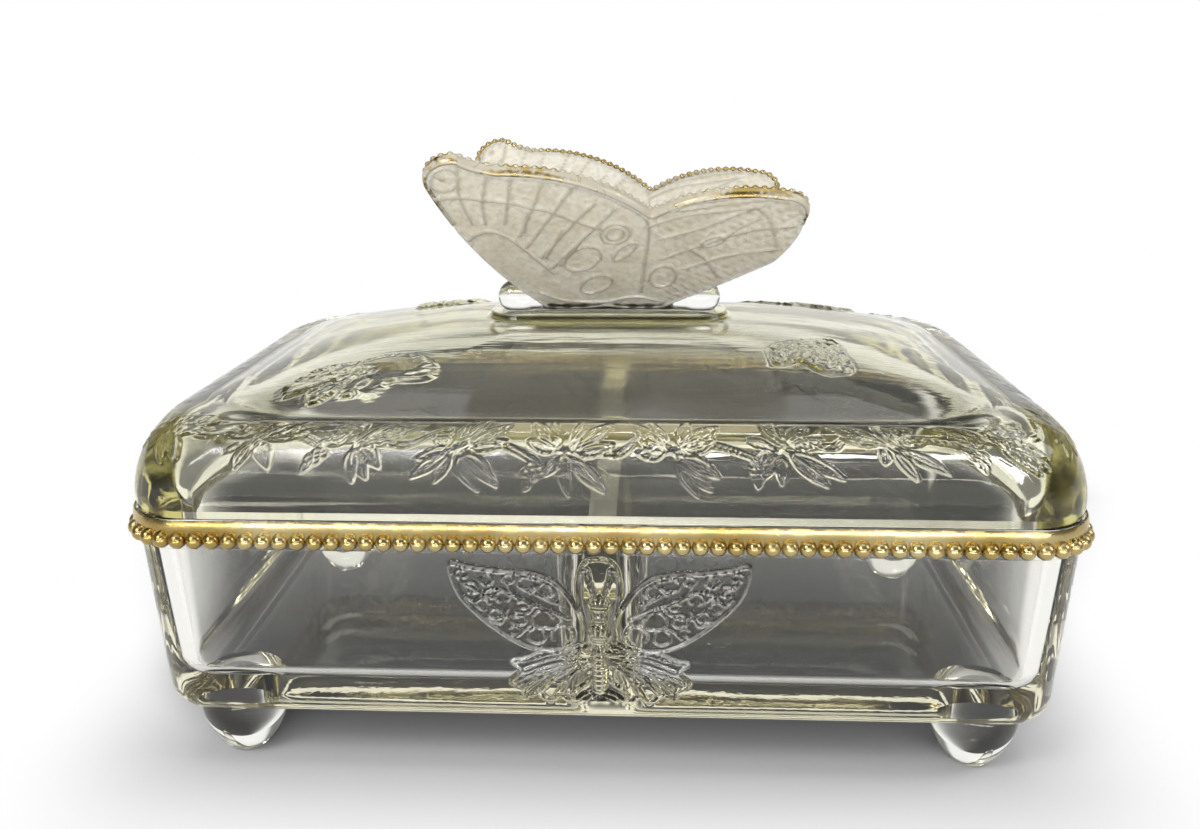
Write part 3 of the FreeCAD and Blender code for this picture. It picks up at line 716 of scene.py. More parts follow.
# Half of the relief butterfly on the base, from its middle line out: x out from the middle, z above the table
FORE_WING = np.array([
    (2.6, 34.0), (4.6, 38.6), (8.3, 42.7), (12.0, 44.3), (18.3, 44.8), (23.9, 45.6), (26.4, 46.2), (26.0, 42.7),
    (24.8, 39.6), (22.0, 36.1), (18.3, 32.7), (14.7, 30.2), (11.0, 28.8), (6.5, 29.0), (2.8, 30.6),
])
HIND_WING = np.array([
    (2.0, 29.6), (8.0, 28.6), (11.5, 28.0), (13.2, 26.6), (16.2, 26.2), (14.8, 24.4), (16.4, 21.6), (14.2, 20.6),
    (13.8, 18.8), (11.6, 19.4), (9.2, 17.8), (7.4, 19.2), (5.4, 17.9), (4.4, 20.4), (2.2, 22.4), (1.6, 26.0),
])
# Curls on its fore wing: middle, radius and direction of the first end in degrees
WING_CURLS = (
    (12.8, 42.6, 1.5, 200), (9.4, 40.9, 1.2, 100), (22.9, 41.4, 1.1, 20), (21.0, 38.2, 1.1, 250),
    (18.7, 36.2, 1.1, 160), (17.4, 39.8, 1.2, 300), (14.6, 35.2, 1.3, 60), (10.2, 35.2, 1.9, 240),
    (11.4, 31.8, 1.6, 140), (6.6, 32.0, 2.0, 330), (15.4, 32.8, 1.0, 30), (24.7, 44.2, 0.9, 200),
    (20.2, 43.2, 1.1, 80), (16.2, 43.4, 0.9, 330), (13.6, 38.3, 0.9, 20),
)
WING_TWIGS = (
    ((5.5, 35.4), (10.0, 37.5), (14.7, 39.6), (16.5, 42.7)), ((11.6, 38.2), (13.0, 36.4), (16.4, 35.6), (19.0, 37.6)),
    ((14.7, 39.6), (18.0, 41.2), (21.4, 40.6), (24.4, 42.6)), ((8.6, 33.4), (12.6, 33.4), (15.0, 31.6)),
    ((16.6, 37.4), (18.0, 34.2), (20.2, 35.2)), ((12.2, 40.6), (10.2, 42.8), (14.0, 44.0)),
    ((19.4, 39.4), (21.0, 40.0), (22.6, 38.6), (24.0, 39.8)), ((7.6, 38.6), (9.2, 39.2), (11.2, 40.4)),
)
# Arch over its head and one of its feelers
HEAD_ARCH = np.array([(0.0, 47.4), (2.4, 46.6), (3.6, 43.6), (3.6, 39.0), (2.8, 35.4)])
FEELER = np.array([(1.0, 40.0), (1.7, 43.0), (2.0, 45.0), (2.8, 45.4), (3.2, 44.5)])


@dataclass
class GlassBase:
    """Footed tray with its rim, two compartments, divider and a butterfly in relief on its front."""

    centre_x: float = 75.5
    centre_y: float = 37.9
    divider_x: float = 9.0
    fine_reach: float = 29.25
    fine_step: float = 0.25
    coarse_step: float = 2.6
    underside: float = 12.0
    lower_round: float = 5.5
    lower_corner: float = 10.1
    wall_corner: float = 11.5
    rim_under: float = 48.4
    rim_top: float = 54.15
    rim_corner: float = 11.9
    mouth_corner: float = 6.5
    divider_top: float = 50.2
    floor: float = 19.0
    floor_corner: float = 5.0
    floor_round: float = 4.0
    edge_ease: float = 0.35
    foot_x: float = 72.6
    foot_y: float = 37.0
    foot_flat: float = 4.0
    foot_radius: float = 8.6
    foot_ease: float = 0.6
    foot_lift: float = 0.12
    foot_sink: float = 0.5
    relief: float = 0.85

    def build(self, finishes: Finishes) -> None:
        """Makes the casting, lets the feet into it and dresses it.

        Args:
            finishes: the finishes of the box.
        """
        shell = Shell()
        ring = self._ring()
        self._outside(shell, ring)
        self._mouth(shell, ring)
        piece = shell.make("base_casting")
        self._unite(piece, self._feet())
        dress(piece, finishes.clear, Body.BASE, Slot.CLEAR, "base_tray")

    def _ring(self) -> Ring:
        """Places round the base, close together where the butterfly and the divider's ends are."""
        side = np.linspace(-1, 1, 2 * round(self.centre_y / self.coarse_step) + 1)
        return Ring.around((self._line(self.fine_reach), side, -self._line(self.divider_x), -side), (16,) * 4)

    def _line(self, reach: float) -> np.ndarray:
        """Shares along a long side: fine steps to a reach on both sides of its middle, then coarse ones.

        Args:
            reach: how far from the middle the fine steps go.

        Returns:
            The shares, from -1 to 1.
        """
        count = round(reach / self.fine_step)
        fine = np.arange(-count, count + 1) * self.fine_step
        edge = np.linspace(reach, self.centre_x, round((self.centre_x - reach) / self.coarse_step) + 1)[1:]
        return np.concatenate([-edge[::-1], fine, edge]) / self.centre_x

    def _offset(self, ring: Ring, corner: np.ndarray, level: np.ndarray) -> np.ndarray:
        """Loops that keep the corner centres and change only the corner radius and level."""
        return ring.loops(self.centre_x + corner, self.centre_y + corner, corner, level)

    def _outside(self, shell: Shell, ring: Ring) -> None:
        """Underside, rounded lower edge, leaning walls with the butterfly, and rim, from the middle outwards.

        Args:
            shell: takes the surfaces.
            ring: places round the base.
        """
        share = np.array([0.0, 0.35, 0.7, 1.0])
        zero = np.zeros(share.shape)
        shell.grid(ring.loops(share * self.centre_x, share * self.centre_y, zero, zero + self.underside), wrap=True)
        lean = (self.wall_corner - self.lower_corner) / (self.rim_under - self.underside)
        start = self.underside + self.lower_round
        inner = self.lower_corner + lean * self.lower_round - self.lower_round
        angle = np.linspace(0, math.pi / 2, 12)
        walls = np.arange(start, self.rim_under - self.edge_ease, self.fine_step)[1:]
        top = self.rim_under
        ease = self.edge_ease
        corner = np.concatenate([
            [0, inner / 2], inner + self.lower_round * np.sin(angle),
            self.lower_corner + lean * (walls - self.underside),
            [self.wall_corner, self.rim_corner - ease / 3, self.rim_corner, self.rim_corner, self.rim_corner - ease / 3,
             self.rim_corner - ease],
        ])
        level = np.concatenate([
            [self.underside, self.underside], start - self.lower_round * np.cos(angle), walls,
            [top, top, top + ease, self.rim_top - ease, self.rim_top - ease / 3, self.rim_top],
        ])
        loops = self._offset(ring, corner, level)
        within = np.abs(ring.share[:, 0]) * self.centre_x < self.fine_reach + MERGE
        on = within & (ring.outward[:, 1] == Side.FRONT.value)
        loops[:, on, 1] += Side.FRONT.value * self._butterfly(loops[:, on, 0], loops[:, on, 2])
        shell.grid(loops, wrap=True)

    def _butterfly(self, along: np.ndarray, level: np.ndarray) -> np.ndarray:
        """Relief butterfly, the same on both sides of its middle line.

        Args:
            along: places along the wall.
            level: heights above the table.

        Returns:
            Height of the relief at each place.
        """
        relief, rise = Relief(np.abs(along), level), self.relief
        fore = smooth_curve(FORE_WING, 90)
        hind = smooth_curve(HIND_WING, 90)
        relief.plate(np.vstack([fore, fore[:1]]), 0.28 * rise, 0.5)
        relief.line(np.vstack([fore, fore[:1]]), 0.55, rise)
        relief.plate(np.vstack([hind, hind[:1]]), 0.45 * rise, 0.8)
        relief.line(hind, 0.5, 0.9 * rise)
        for x, z, radius, start in WING_CURLS:
            relief.ring((x, z), radius, 0.42, 0.9 * rise, start, 285)
        for number, twig in enumerate(WING_TWIGS):
            relief.line(smooth_curve(np.array(twig), 24), 0.5 if number == 0 else 0.4, 0.9 * rise)
        for tip in HIND_WING[2:14]:
            root = np.array((1.4, 28.4 - 0.18 * (28.0 - tip[1])))
            middle = 0.5 * (root + tip) + np.array((0.5, 0.9))
            relief.line(smooth_curve(np.stack([root, middle, 0.94 * tip + 0.06 * root]), 20), 0.42, 0.85 * rise)
        relief.ring((7.6, 23.2), 1.5, 0.4, 0.9 * rise, 20, 300)
        relief.ring((11.2, 23.6), 1.0, 0.4, 0.9 * rise, 120, 300)
        relief.line(smooth_curve(HEAD_ARCH, 40), 0.5, 0.8 * rise)
        relief.line(smooth_curve(FEELER, 30), 0.45, rise)
        relief.dome((0.0, 38.4), (1.8, 1.7), 1.5 * rise)
        relief.dome((0.0, 35.6), (1.5, 1.5), 1.4 * rise)
        relief.dome((0.0, 32.4), (1.9, 2.4), 1.7 * rise)
        relief.dome((0.0, 24.6), (1.6, 5.8), 1.3 * rise + 0.12 * np.cos(level * TURN / 1.1))
        for radius in (3.4, 4.5, 5.6):
            relief.ring((0.0, 14.6), radius, 0.5, 0.9 * rise, 25, 130)
        return relief.height * ramp(level, 17.4, 18.4) * ramp(-level, -48.0, -47.2)

    def _mouth(self, shell: Shell, ring: Ring) -> None:
        """Top of the rim, mouth, divider top and both compartments.

        Args:
            shell: takes the surfaces.
            ring: places round the base.
        """
        ease = self.edge_ease
        drop = (self.mouth_corner - self.floor_corner) / (self.rim_top - self.floor)
        below = self.mouth_corner - drop * (self.rim_top - self.divider_top)
        corner = np.array([self.rim_corner - ease, self.mouth_corner + ease, self.mouth_corner + ease / 3,
                           self.mouth_corner, below])
        level = np.array([self.rim_top, self.rim_top, self.rim_top - ease / 3, self.rim_top - ease, self.divider_top])
        shell.grid(self._offset(ring, corner, level), wrap=True)
        room, inner = self._compartment_ring(ring)
        heights = np.linspace(self.divider_top, self.floor + self.floor_round, 5)
        angle = np.linspace(0, math.pi / 2, 8)
        foot = self.mouth_corner - drop * (self.rim_top - self.floor - self.floor_round)
        corner = np.concatenate([
            self.mouth_corner - drop * (self.rim_top - heights),
            foot - self.floor_round * (1 - np.cos(angle[1:])), [0.0],
        ])
        level = np.concatenate([
            heights, self.floor + self.floor_round * (1 - np.sin(angle[1:])), [self.floor],
        ])
        middle = (self.centre_x + self.divider_x) / 2
        half_x, half_y = (self.centre_x - self.divider_x) / 2, self.centre_y
        walls = room.loops(half_x + corner, half_y + corner, corner, level)
        share = np.array([1.0, 0.6, 0.25, 0.0])
        floor = room.loops(share * half_x, share * half_y, 0 * share, 0 * share + self.floor)
        for mirror in (1, -1):
            for loops in (walls, floor):
                shell.grid((loops + (middle, 0, 0)) * (mirror, 1, 1), wrap=True)
        edge = walls[0][inner] + (middle, 0, 0)
        across = round(self.divider_x / self.fine_step)
        share = np.linspace(-1, 1, 2 * across + 1)
        top = np.stack(np.broadcast_arrays(
            edge[:, :1] * share, edge[:, 1:2], np.full((1, 1), self.divider_top)), axis=-1)
        shell.grid(top)

    def _compartment_ring(self, ring: Ring) -> tuple[Ring, np.ndarray]:
        """Ring of the right compartment: the base's own places on the right, then the divider's side.

        Args:
            ring: places round the base.

        Returns:
            The compartment's ring about its own middle, and the numbers of its places along the divider.
        """
        keep = ring.share[:, 0] * self.centre_x > self.divider_x - MERGE
        middle, half = (self.centre_x + self.divider_x) / 2, (self.centre_x - self.divider_x) / 2
        kept = ring.share[keep].copy()
        kept[:, 0] = (kept[:, 0] * self.centre_x - middle) / half
        quarter = np.linspace(0, math.pi / 2, 11)[1:]
        line = np.linspace(1, -1, 31)[1:]
        back = np.stack([np.cos(math.pi / 2 + quarter), np.sin(math.pi / 2 + quarter)], axis=-1)
        front = np.stack([np.cos(math.pi + quarter[:-1]), np.sin(math.pi + quarter[:-1])], axis=-1)
        share = np.concatenate([kept, np.tile((-1.0, 1.0), (len(back), 1)),
                                np.stack([np.full(len(line), -1.0), line], -1), np.tile((-1.0, -1.0), (len(front), 1))])
        outward = np.concatenate([ring.outward[keep], back, np.tile((-1.0, 0.0), (len(line), 1)), front])
        count = int(keep.sum())
        numbers = np.concatenate([[count - 1], np.arange(count, len(share)), [0]])
        return Ring(share, outward), numbers

    def _feet(self) -> bpy.types.Object:
        """Four bun feet: an arc from the flat that they stand on to an upright side, turned about their axes.

        Returns:
            All four, in one object.
        """
        reach = self.foot_radius - self.foot_flat
        bulge = (reach ** 2 + self.underside ** 2) / (2 * reach)
        angle = np.linspace(-math.asin(self.underside / bulge), 0, 14)
        radius = np.concatenate([[0, self.foot_flat - self.foot_ease], self.foot_radius - bulge + bulge * np.cos(angle),
                                 [self.foot_radius, 0]])
        rise = self.lower_round - self.foot_sink
        level = np.concatenate([[0, 0], self.underside + bulge * np.sin(angle), [self.underside + rise] * 2])
        level[2] += self.foot_lift
        turn = np.linspace(0, TURN, 64, endpoint=False)
        shell = Shell()
        for sign_x in (-1, 1):
            for sign_y in (-1, 1):
                shell.grid(np.stack(np.broadcast_arrays(
                    sign_x * self.foot_x + radius[:, None] * np.cos(turn),
                    sign_y * self.foot_y + radius[:, None] * np.sin(turn), level[:, None]), axis=-1), wrap=True)
        return shell.make("feet")

    @staticmethod
    def _unite(piece: bpy.types.Object, feet: bpy.types.Object) -> None:
        """Joins the feet to the casting as one closed solid and keeps the result as its mesh.

        Args:
            piece: the casting.
            feet: the feet, which are used up.
        """
        union = piece.modifiers.new("feet", "BOOLEAN")
        union.operation, union.solver, union.object = "UNION", "EXACT", feet
        whole = bpy.data.meshes.new_from_object(piece.evaluated_get(bpy.context.evaluated_depsgraph_get()))
        piece.modifiers.clear()
        piece.data = whole
        bpy.data.objects.remove(feet)
        whole.set_sharp_from_angle(angle=math.radians(SHARP))


# Ornaments on the front half of the lid's top, seen from above: the small butterfly, the curled leaf and its ribs
TOP_BUTTERFLY = np.array([
    (-56.8, -40.1), (-55.1, -38.7), (-52.9, -38.0), (-51.5, -42.8), (-49.4, -41.2), (-47.9, -39.4), (-45.6, -41.2),
    (-43.9, -39.7), (-41.7, -41.5), (-40.2, -39.0), (-38.7, -35.9), (-35.4, -35.8), (-32.0, -35.0), (-31.4, -31.5),
    (-33.6, -28.8), (-36.3, -26.4), (-41.2, -25.9), (-46.3, -28.0), (-51.4, -28.5), (-54.6, -30.0), (-56.9, -34.0),
    (-58.1, -36.8),
])
TOP_CURL = np.array([
    (31.4, -27.7), (31.9, -29.6), (34.1, -28.9), (36.4, -27.2), (38.2, -29.3), (39.9, -31.3), (41.6, -32.0),
    (45.1, -30.4), (46.0, -27.6), (45.5, -22.4), (44.4, -16.2), (38.8, -17.7), (34.1, -20.2), (31.6, -23.6),
])
TOP_CURL_RIBS = (
    ((34.1, -20.8), (32.4, -24.6), (32.6, -28.0)), ((37.8, -19.4), (34.9, -23.6), (34.2, -28.0)),
    ((41.6, -18.6), (37.8, -23.0), (36.4, -26.4)), ((44.0, -17.6), (40.7, -23.0), (38.6, -28.6)),
    ((44.6, -20.6), (42.4, -25.4), (41.0, -30.6)), ((45.0, -24.0), (44.2, -27.4), (43.6, -30.2)),
)

# Leaves of the garland's three sprays, in turn: direction in degrees, length, width and drift of the tip
SPRAYS = (
    ((139, 7.0, 2.1, 0.5), (115, 5.0, 1.6, 0.2), (51, 5.8, 1.9, -0.3), (28, 9.4, 2.2, -0.6), (12, 6.6, 2.2, 0.4),
     (-29, 6.6, 2.4, -0.9), (-57, 7.2, 2.4, 0.5), (-72, 7.0, 2.0, 0.3), (182, 4.6, 2.0, -0.2), (158, 5.0, 2.0, 0.2)),
    ((96, 3.6, 1.6, -0.2), (61, 5.2, 2.0, 0.4), (34, 7.6, 2.1, -0.5), (8, 7.0, 2.0, 0.6), (-34, 8.8, 2.4, -0.9),
     (-59, 7.6, 2.3, 0.5), (-111, 5.4, 2.0, 0.3), (-139, 7.2, 2.2, 0.5), (200, 5.0, 2.1, 0.2), (162, 3.8, 1.8, -0.3)),
    ((140, 7.2, 2.2, 0.4), (118, 4.6, 1.7, 0.2), (55, 5.7, 2.1, 0.4), (33, 8.4, 2.2, -0.5), (7, 7.2, 2.2, 0.5),
     (-41, 8.0, 2.3, -0.8), (-84, 6.2, 2.1, 0.3), (165, 5.4, 2.0, -0.3), (-128, 3.4, 1.6, 0.2)),
)
# Stems from one spray to the next: one that drops to a bud and one that climbs
STEMS = (
    ((1.0, 0.0), (5.0, 1.4), (8.6, 0.7), (12.7, -1.2), (14.5, -2.4)),
    ((3.0, -0.5), (5.9, 0.2), (9.5, 0.0), (13.2, 2.7), (15.9, 3.3), (17.2, 1.4)),
)


@dataclass
class GlassLid:
    """Domed lid with a leaf garland on its shoulder, a butterfly and a leaf on each half of its top, and its hollow."""

    half_x: float = 87.5
    half_y: float = 49.9
    corner: float = 13.4
    bottom: float = 54.25
    flange_top: float = 56.9
    shoulder_rise: float = 15.2
    shoulder_inset_x: float = 13.3
    shoulder_inset_y: float = 3.0
    shoulder_corner: float = 18.0
    crown_rise: float = 9.6
    crown_end: float = 0.2236
    plinth_x: float = 25.0
    plinth_y: float = 8.0
    plinth_corner: float = 7.2
    seat: float = 82.5
    tongue_x: float = 81.3
    tongue_y: float = 43.7
    tongue_corner: float = 5.8
    tongue_bottom: float = 51.7
    hollow_x: float = 78.3
    hollow_y: float = 40.7
    hollow_corner: float = 6.0
    hollow_rise: float = 9.2
    hollow_inset_x: float = 9.5
    hollow_inset_y: float = 3.0
    hollow_top_corner: float = 12.0
    edge_ease: float = 0.35
    sprays: int = 27
    spray_start: float = 12.9
    spray_level: float = 0.64
    relief: float = 0.36
    end_relief: float = 0.45
    leaf_gap: float = 1.7
    leaf_spread: float = 0.98
    side_places: tuple[int, int, int] = (601, 91, 137)
    corner_places: tuple[int, int, int, int] = (72, 40, 40, 72)

    def build(self, finishes: Finishes) -> None:
        """Makes the casting and dresses it.

        Args:
            finishes: the finishes of the box.
        """
        shell = Shell()
        front, side, rear = (np.linspace(-1, 1, count) for count in self.side_places)
        ring = Ring.around((front, side, -rear, -side), self.corner_places)
        self._outside(shell, ring)
        self._inside(shell, ring)
        dress(shell.make("lid_casting"), finishes.lid, Body.LID, Slot.CLEAR, "lid_shell")

    @staticmethod
    def _outwards(loops: np.ndarray) -> np.ndarray:
        """Outward directions of a stack of loops: the cross product of the way round and the way up.

        Args:
            loops: loops by places by three.

        Returns:
            Directions of length one, in the same layout.
        """
        around = np.roll(loops, -1, axis=1) - np.roll(loops, 1, axis=1)
        normal = np.cross(around, np.gradient(loops, axis=0))
        return normal / np.maximum(np.linalg.norm(normal, axis=-1, keepdims=True), MERGE)

    def _dome(self, ring: Ring, mouth: tuple[float, float, float], insets: tuple[float, float], rise: float,
              top_corner: float, angles: np.ndarray) -> np.ndarray:
        """Shoulder loops: a quarter ellipse, in by one less the cosine of the angle and up by its sine.

        Args:
            ring: places round the lid.
            mouth: half length, half width and corner radius at the foot.
            insets: how far in the top lies, along and across.
            rise: foot to top.
            top_corner: corner radius at the top.
            angles: angle of each loop.

        Returns:
            Loops by places by three.
        """
        lean, share = 1 - np.cos(angles), np.sin(angles)
        return ring.loops(mouth[0] - insets[0] * lean, mouth[1] - insets[1] * lean,
                          mouth[2] * (1 - share) + top_corner * share, self.flange_top + rise * share)

    def _crown(self, ring: Ring, foot: tuple[float, float, float], level: float, spread: np.ndarray) -> np.ndarray:
        """Crown loops: width as the spread, length as its two-thirds power, height as one less its square.

        Args:
            ring: places round the lid.
            foot: half length, half width and corner radius at the foot.
            level: height of the foot.
            spread: share of the foot's width of each loop.

        Returns:
            Loops by places by three.
        """
        width = foot[1] * spread
        share = 1 - spread ** 2
        return ring.loops(foot[0] * spread ** (2 / 3), width, foot[2] * (1 - share) + 0.9 * width * share,
                          level + self.crown_rise * share)

    def _outside(self, shell: Shell, ring: Ring) -> None:
        """Upright edge, shoulder with the garland, crown with its ornaments, and plinth.

        Args:
            shell: takes the surfaces.
            ring: places round the lid.
        """
        ease = self.edge_ease
        edge = ring.loops(
            self.half_x - np.array([ease, ease / 3, 0, 0]), self.half_y - np.array([ease, ease / 3, 0, 0]),
            self.corner - np.array([ease, ease / 3, 0, 0]), np.array([0, ease / 3, ease, 1.4]) + self.bottom,
        )
        shoulder = self._shoulder(ring, self._shoulder_angles())
        shoulder += self._garland(shoulder, ring)[..., None] * self._outwards(shoulder)
        shell.grid(np.concatenate([edge, shoulder]), wrap=True)
        chosen = ring.thinned(lines=8, corners=1)
        few = ring.pick(chosen)
        foot = (self.half_x - self.shoulder_inset_x, self.half_y - self.shoulder_inset_y, self.shoulder_corner)
        level = self.flange_top + self.shoulder_rise
        spread = np.concatenate([
            np.linspace(1, 0.95, 4)[1:], np.linspace(0.95, 0.33, 60)[1:], np.linspace(0.33, self.crown_end, 8)[1:],
        ])
        crown = self._crown(few, foot, level, spread)
        crown += self._top_ornaments(crown)[..., None] * self._outwards(crown)
        shell.step(shoulder[-1], crown[0], chosen)
        shell.grid(crown, wrap=True)
        top = level + self.crown_rise * (1 - self.crown_end ** 2)
        rise = self.seat - top
        grow = np.array([1.2, 0.5, 0.15, 0.0, -0.15, -0.6])
        lift = np.array([0.0, 0.08, 0.3, 0.75, 0.95, 1.0])
        plinth = few.loops(self.plinth_x + grow, self.plinth_y + grow, self.plinth_corner + grow, top + rise * lift)
        shell.grid(np.concatenate([crown[-1:], plinth]), wrap=True)
        share = np.array([1.0, 0.6, 0.25, 0.0])
        middle = (self.plinth_x - 0.6, self.plinth_y - 0.6, self.plinth_corner - 0.6)
        shell.grid(few.loops(*(share * size for size in middle), self.seat + 0 * share), wrap=True)

    def _shoulder(self, ring: Ring, angles: np.ndarray) -> np.ndarray:
        """Plain loops of the outer shoulder at the given angles of its quarter ellipse."""
        return self._dome(ring, (self.half_x, self.half_y, self.corner), (self.shoulder_inset_x, self.shoulder_inset_y),
                          self.shoulder_rise, self.shoulder_corner, angles)

    def _shoulder_angles(self) -> np.ndarray:
        """Angles of the shoulder's loops: a few below the garland, then even steps along a middling ellipse.

        Returns:
            The angles, from 0 to a quarter turn.
        """
        turn = np.linspace(0, math.pi / 2, 400)
        lean = 0.5 * (self.shoulder_inset_x + self.shoulder_inset_y) * 0.7
        pace = np.hypot(lean * np.sin(turn), self.shoulder_rise * np.cos(turn))
        way = np.cumsum(pace) / pace.sum()
        marks = np.concatenate([np.linspace(0, 0.12, 4)[:-1], np.linspace(0.12, 1, 53)])
        return np.interp(marks, (way - way[0]) / (1 - way[0]), turn)

    def _garland(self, loops: np.ndarray, ring: Ring) -> np.ndarray:
        """Leaf garland: sprays at an even pitch round the shoulder, tied by stems, lower on the short ends.

        Args:
            loops: the plain shoulder, from its foot up.
            ring: places round it.

        Returns:
            Height of the garland at each place.
        """
        rows = np.linalg.norm(np.diff(loops, axis=0), axis=-1)
        up = np.concatenate([np.zeros((1, loops.shape[1])), np.cumsum(rows, axis=0)])
        climb = up - self.spray_level * up[-1]
        line = self._shoulder(ring, np.array([math.pi / 4]))[0]
        steps = np.linalg.norm(np.roll(line, -1, axis=0) - line, axis=-1)
        total = steps.sum()
        around = np.cumsum(steps) - steps
        front = ring.outward[:, 1] == Side.FRONT.value
        around -= np.interp(0, line[front, 0], around[front])
        pitch = total / self.sprays
        height = np.zeros(up.shape)
        for number in range(self.sprays):
            place = (around - self.spray_start - number * pitch + total / 2) % total - total / 2
            near = np.abs(place) < 1.1 * pitch
            relief = Relief(np.broadcast_to(place[near], (len(up), near.sum())), climb[:, near])
            self._spray(relief, number)
            height[:, near] = np.maximum(height[:, near], relief.height)
        strength = self.end_relief + (1 - self.end_relief) * ring.outward[:, 1] ** 2
        return strength * height * ramp(up, 0.6, 2.0) * ramp(up[-1:] - up, 0.0, 0.5)

    def _spray(self, relief: Relief, number: int) -> None:
        """One spray of leaves and the stem on to the next, which drops to a bud or climbs, turn about.

        Args:
            relief: surface about the spray's middle.
            number: which spray it is, from the front's middle.
        """
        for angle, length, width, bend in SPRAYS[number % len(SPRAYS)]:
            turn = math.radians(angle)
            foot = (self.leaf_gap * math.cos(turn), self.leaf_gap * math.sin(turn))
            relief.leaf(foot, angle, length, self.leaf_spread * width, bend, self.relief)
            relief.line(np.array([(0.0, 0.0), foot]), 0.3, 0.7 * self.relief)
        climbs = (number + (number > self.sprays // 2)) % 2
        stem = smooth_curve(np.array(STEMS[climbs]), 50)
        for off in (-0.42, 0.42):
            relief.line(stem + (0, off), 0.32, 0.9 * self.relief)
        if not climbs:
            for angle in (20, 110, 200, 290):
                turn = math.radians(angle)
                relief.ring((13.6 + 1.1 * math.cos(turn), -3.4 + 1.1 * math.sin(turn)), 0.6, 0.36, 0.9 * self.relief)
            relief.leaf((13.2, -4.6), -110, 2.6, 1.3, 0.2, self.relief)

    def _top_ornaments(self, loops: np.ndarray) -> np.ndarray:
        """A small butterfly at the left of each half of the top and a curled leaf at the right.

        Args:
            loops: the plain crown.

        Returns:
            Height of both ornaments at each place, the back half turned half round.
        """
        turned = np.where(loops[..., 1] < 0, 1.0, -1.0)
        relief = Relief(loops[..., 0] * turned, loops[..., 1] * turned)
        self._top_butterfly(relief)
        outline = smooth_curve(np.vstack([TOP_CURL, TOP_CURL[:1]]), 120)
        relief.plate(outline, 0.5, 0.9)
        relief.line(outline, 0.7, 0.7)
        for rib in TOP_CURL_RIBS:
            relief.line(smooth_curve(np.array(rib), 24), 0.75, 0.9)
        return relief.height

    @staticmethod
    def _top_butterfly(relief: Relief) -> None:
        """Wings ribbed like a fan on one side and pebbled on the other, with a beaded lower edge.

        Args:
            relief: the lid's top, seen from above.
        """
        closed = np.vstack([TOP_BUTTERFLY, TOP_BUTTERFLY[:1]])
        outline = smooth_curve(closed, 200)
        relief.plate(outline, 0.45, 0.7)
        relief.line(outline, 0.5, 0.65)
        root = np.array((-45.0, -32.4))
        for tip in even_steps(np.vstack([TOP_BUTTERFLY[17:], TOP_BUTTERFLY[:6]]), 17):
            relief.line(np.stack([0.72 * root + 0.28 * tip, 0.08 * root + 0.92 * tip]), 0.5, 0.8)
        for row in range(7):
            for column in range(8):
                spot = (-41.6 + 1.3 * column + 0.65 * (row % 2), -34.9 + 1.15 * row)
                if spot[0] - spot[1] > -2.2 and spot[0] < -32.0 - 0.8 * max(0.0, spot[1] + 31.0):
                    relief.dome(spot, (0.6, 0.6), 0.75)
        for spot in even_steps(TOP_BUTTERFLY[3:13], 22):
            relief.dome((spot[0], spot[1] + 0.5), (0.62, 0.62), 0.85)
        relief.ring((-44.8, -32.6), 2.0, 0.5, 0.85)
        relief.dome((-44.8, -32.6), (1.1, 1.1), 0.95)
        relief.dome((-43.6, -36.6), (1.3, 2.4), 0.9)

    def _inside(self, shell: Shell, ring: Ring) -> None:
        """Seat of the lid, locating tongue and hollow, on a few of the outside's places.

        Args:
            shell: takes the surfaces.
            ring: places round the lid.
        """
        ease = self.edge_ease
        chosen = ring.thinned(lines=12, corners=6)
        few = ring.pick(chosen)
        sizes = (np.array([value - ease]) for value in (self.half_x, self.half_y, self.corner))
        rim = ring.loops(*sizes, np.array([self.bottom]))
        grow = np.array([0.3, 0.08, 0.0, 0.0, -0.1, -0.4])
        lift = np.array([self.bottom, self.bottom - 0.08, self.bottom - 0.3, self.tongue_bottom + 0.4,
                         self.tongue_bottom + 0.1, self.tongue_bottom])
        tongue = few.loops(self.tongue_x + grow, self.tongue_y + grow, self.tongue_corner + grow, lift)
        shell.step(rim[0], tongue[0], chosen)
        shell.grid(tongue, wrap=True)
        grow = np.array([0.4, 0.1, 0.0])
        lift = self.tongue_bottom + np.array([0, 0.1, 0.4])
        lower = few.loops(self.hollow_x + grow, self.hollow_y + grow, self.hollow_corner + grow, lift)
        mouth = (self.hollow_x, self.hollow_y, self.hollow_corner)
        shoulder = self._dome(few, mouth, (self.hollow_inset_x, self.hollow_inset_y), self.hollow_rise,
                              self.hollow_top_corner, np.linspace(0, math.pi / 2, 18))
        foot = (self.hollow_x - self.hollow_inset_x, self.hollow_y - self.hollow_inset_y, self.hollow_top_corner)
        crown = self._crown(few, foot, self.flange_top + self.hollow_rise, np.linspace(1, self.crown_end, 20)[1:])
        share = np.array([0.6, 0.25, 0.0])
        end = self.crown_end
        half_x, half_y = foot[0] * end ** (2 / 3), foot[1] * end
        peak = crown[-1, 0, 2]
        top = few.loops(share * half_x, share * half_y, share * 0.9 * half_y, peak + 0 * share)
        shell.grid(np.concatenate([tongue[-1:], lower, shoulder, crown, top]), wrap=True)


# Joints of the wing outline and the places that its arcs pass between them: along the body, up the wing
WING_JOINTS = np.array([
    (-13.79, -1.96), (-31.92, 36.10), (-25.13, 43.28), (-18.27, 40.15), (8.89, 28.27), (33.04, 33.41), (37.66, 27.19),
    (33.32, 14.35), (11.83, -1.96),
])
WING_MIDDLES = np.array([
    (-25.83, 17.79), (-30.17, 41.54), (-21.98, 41.37), (-3.43, 37.28), (19.74, 33.49), (37.38, 30.67), (36.19, 20.27),
    (24.15, 7.13),
])
ROOT = np.array((0.0, 2.0))


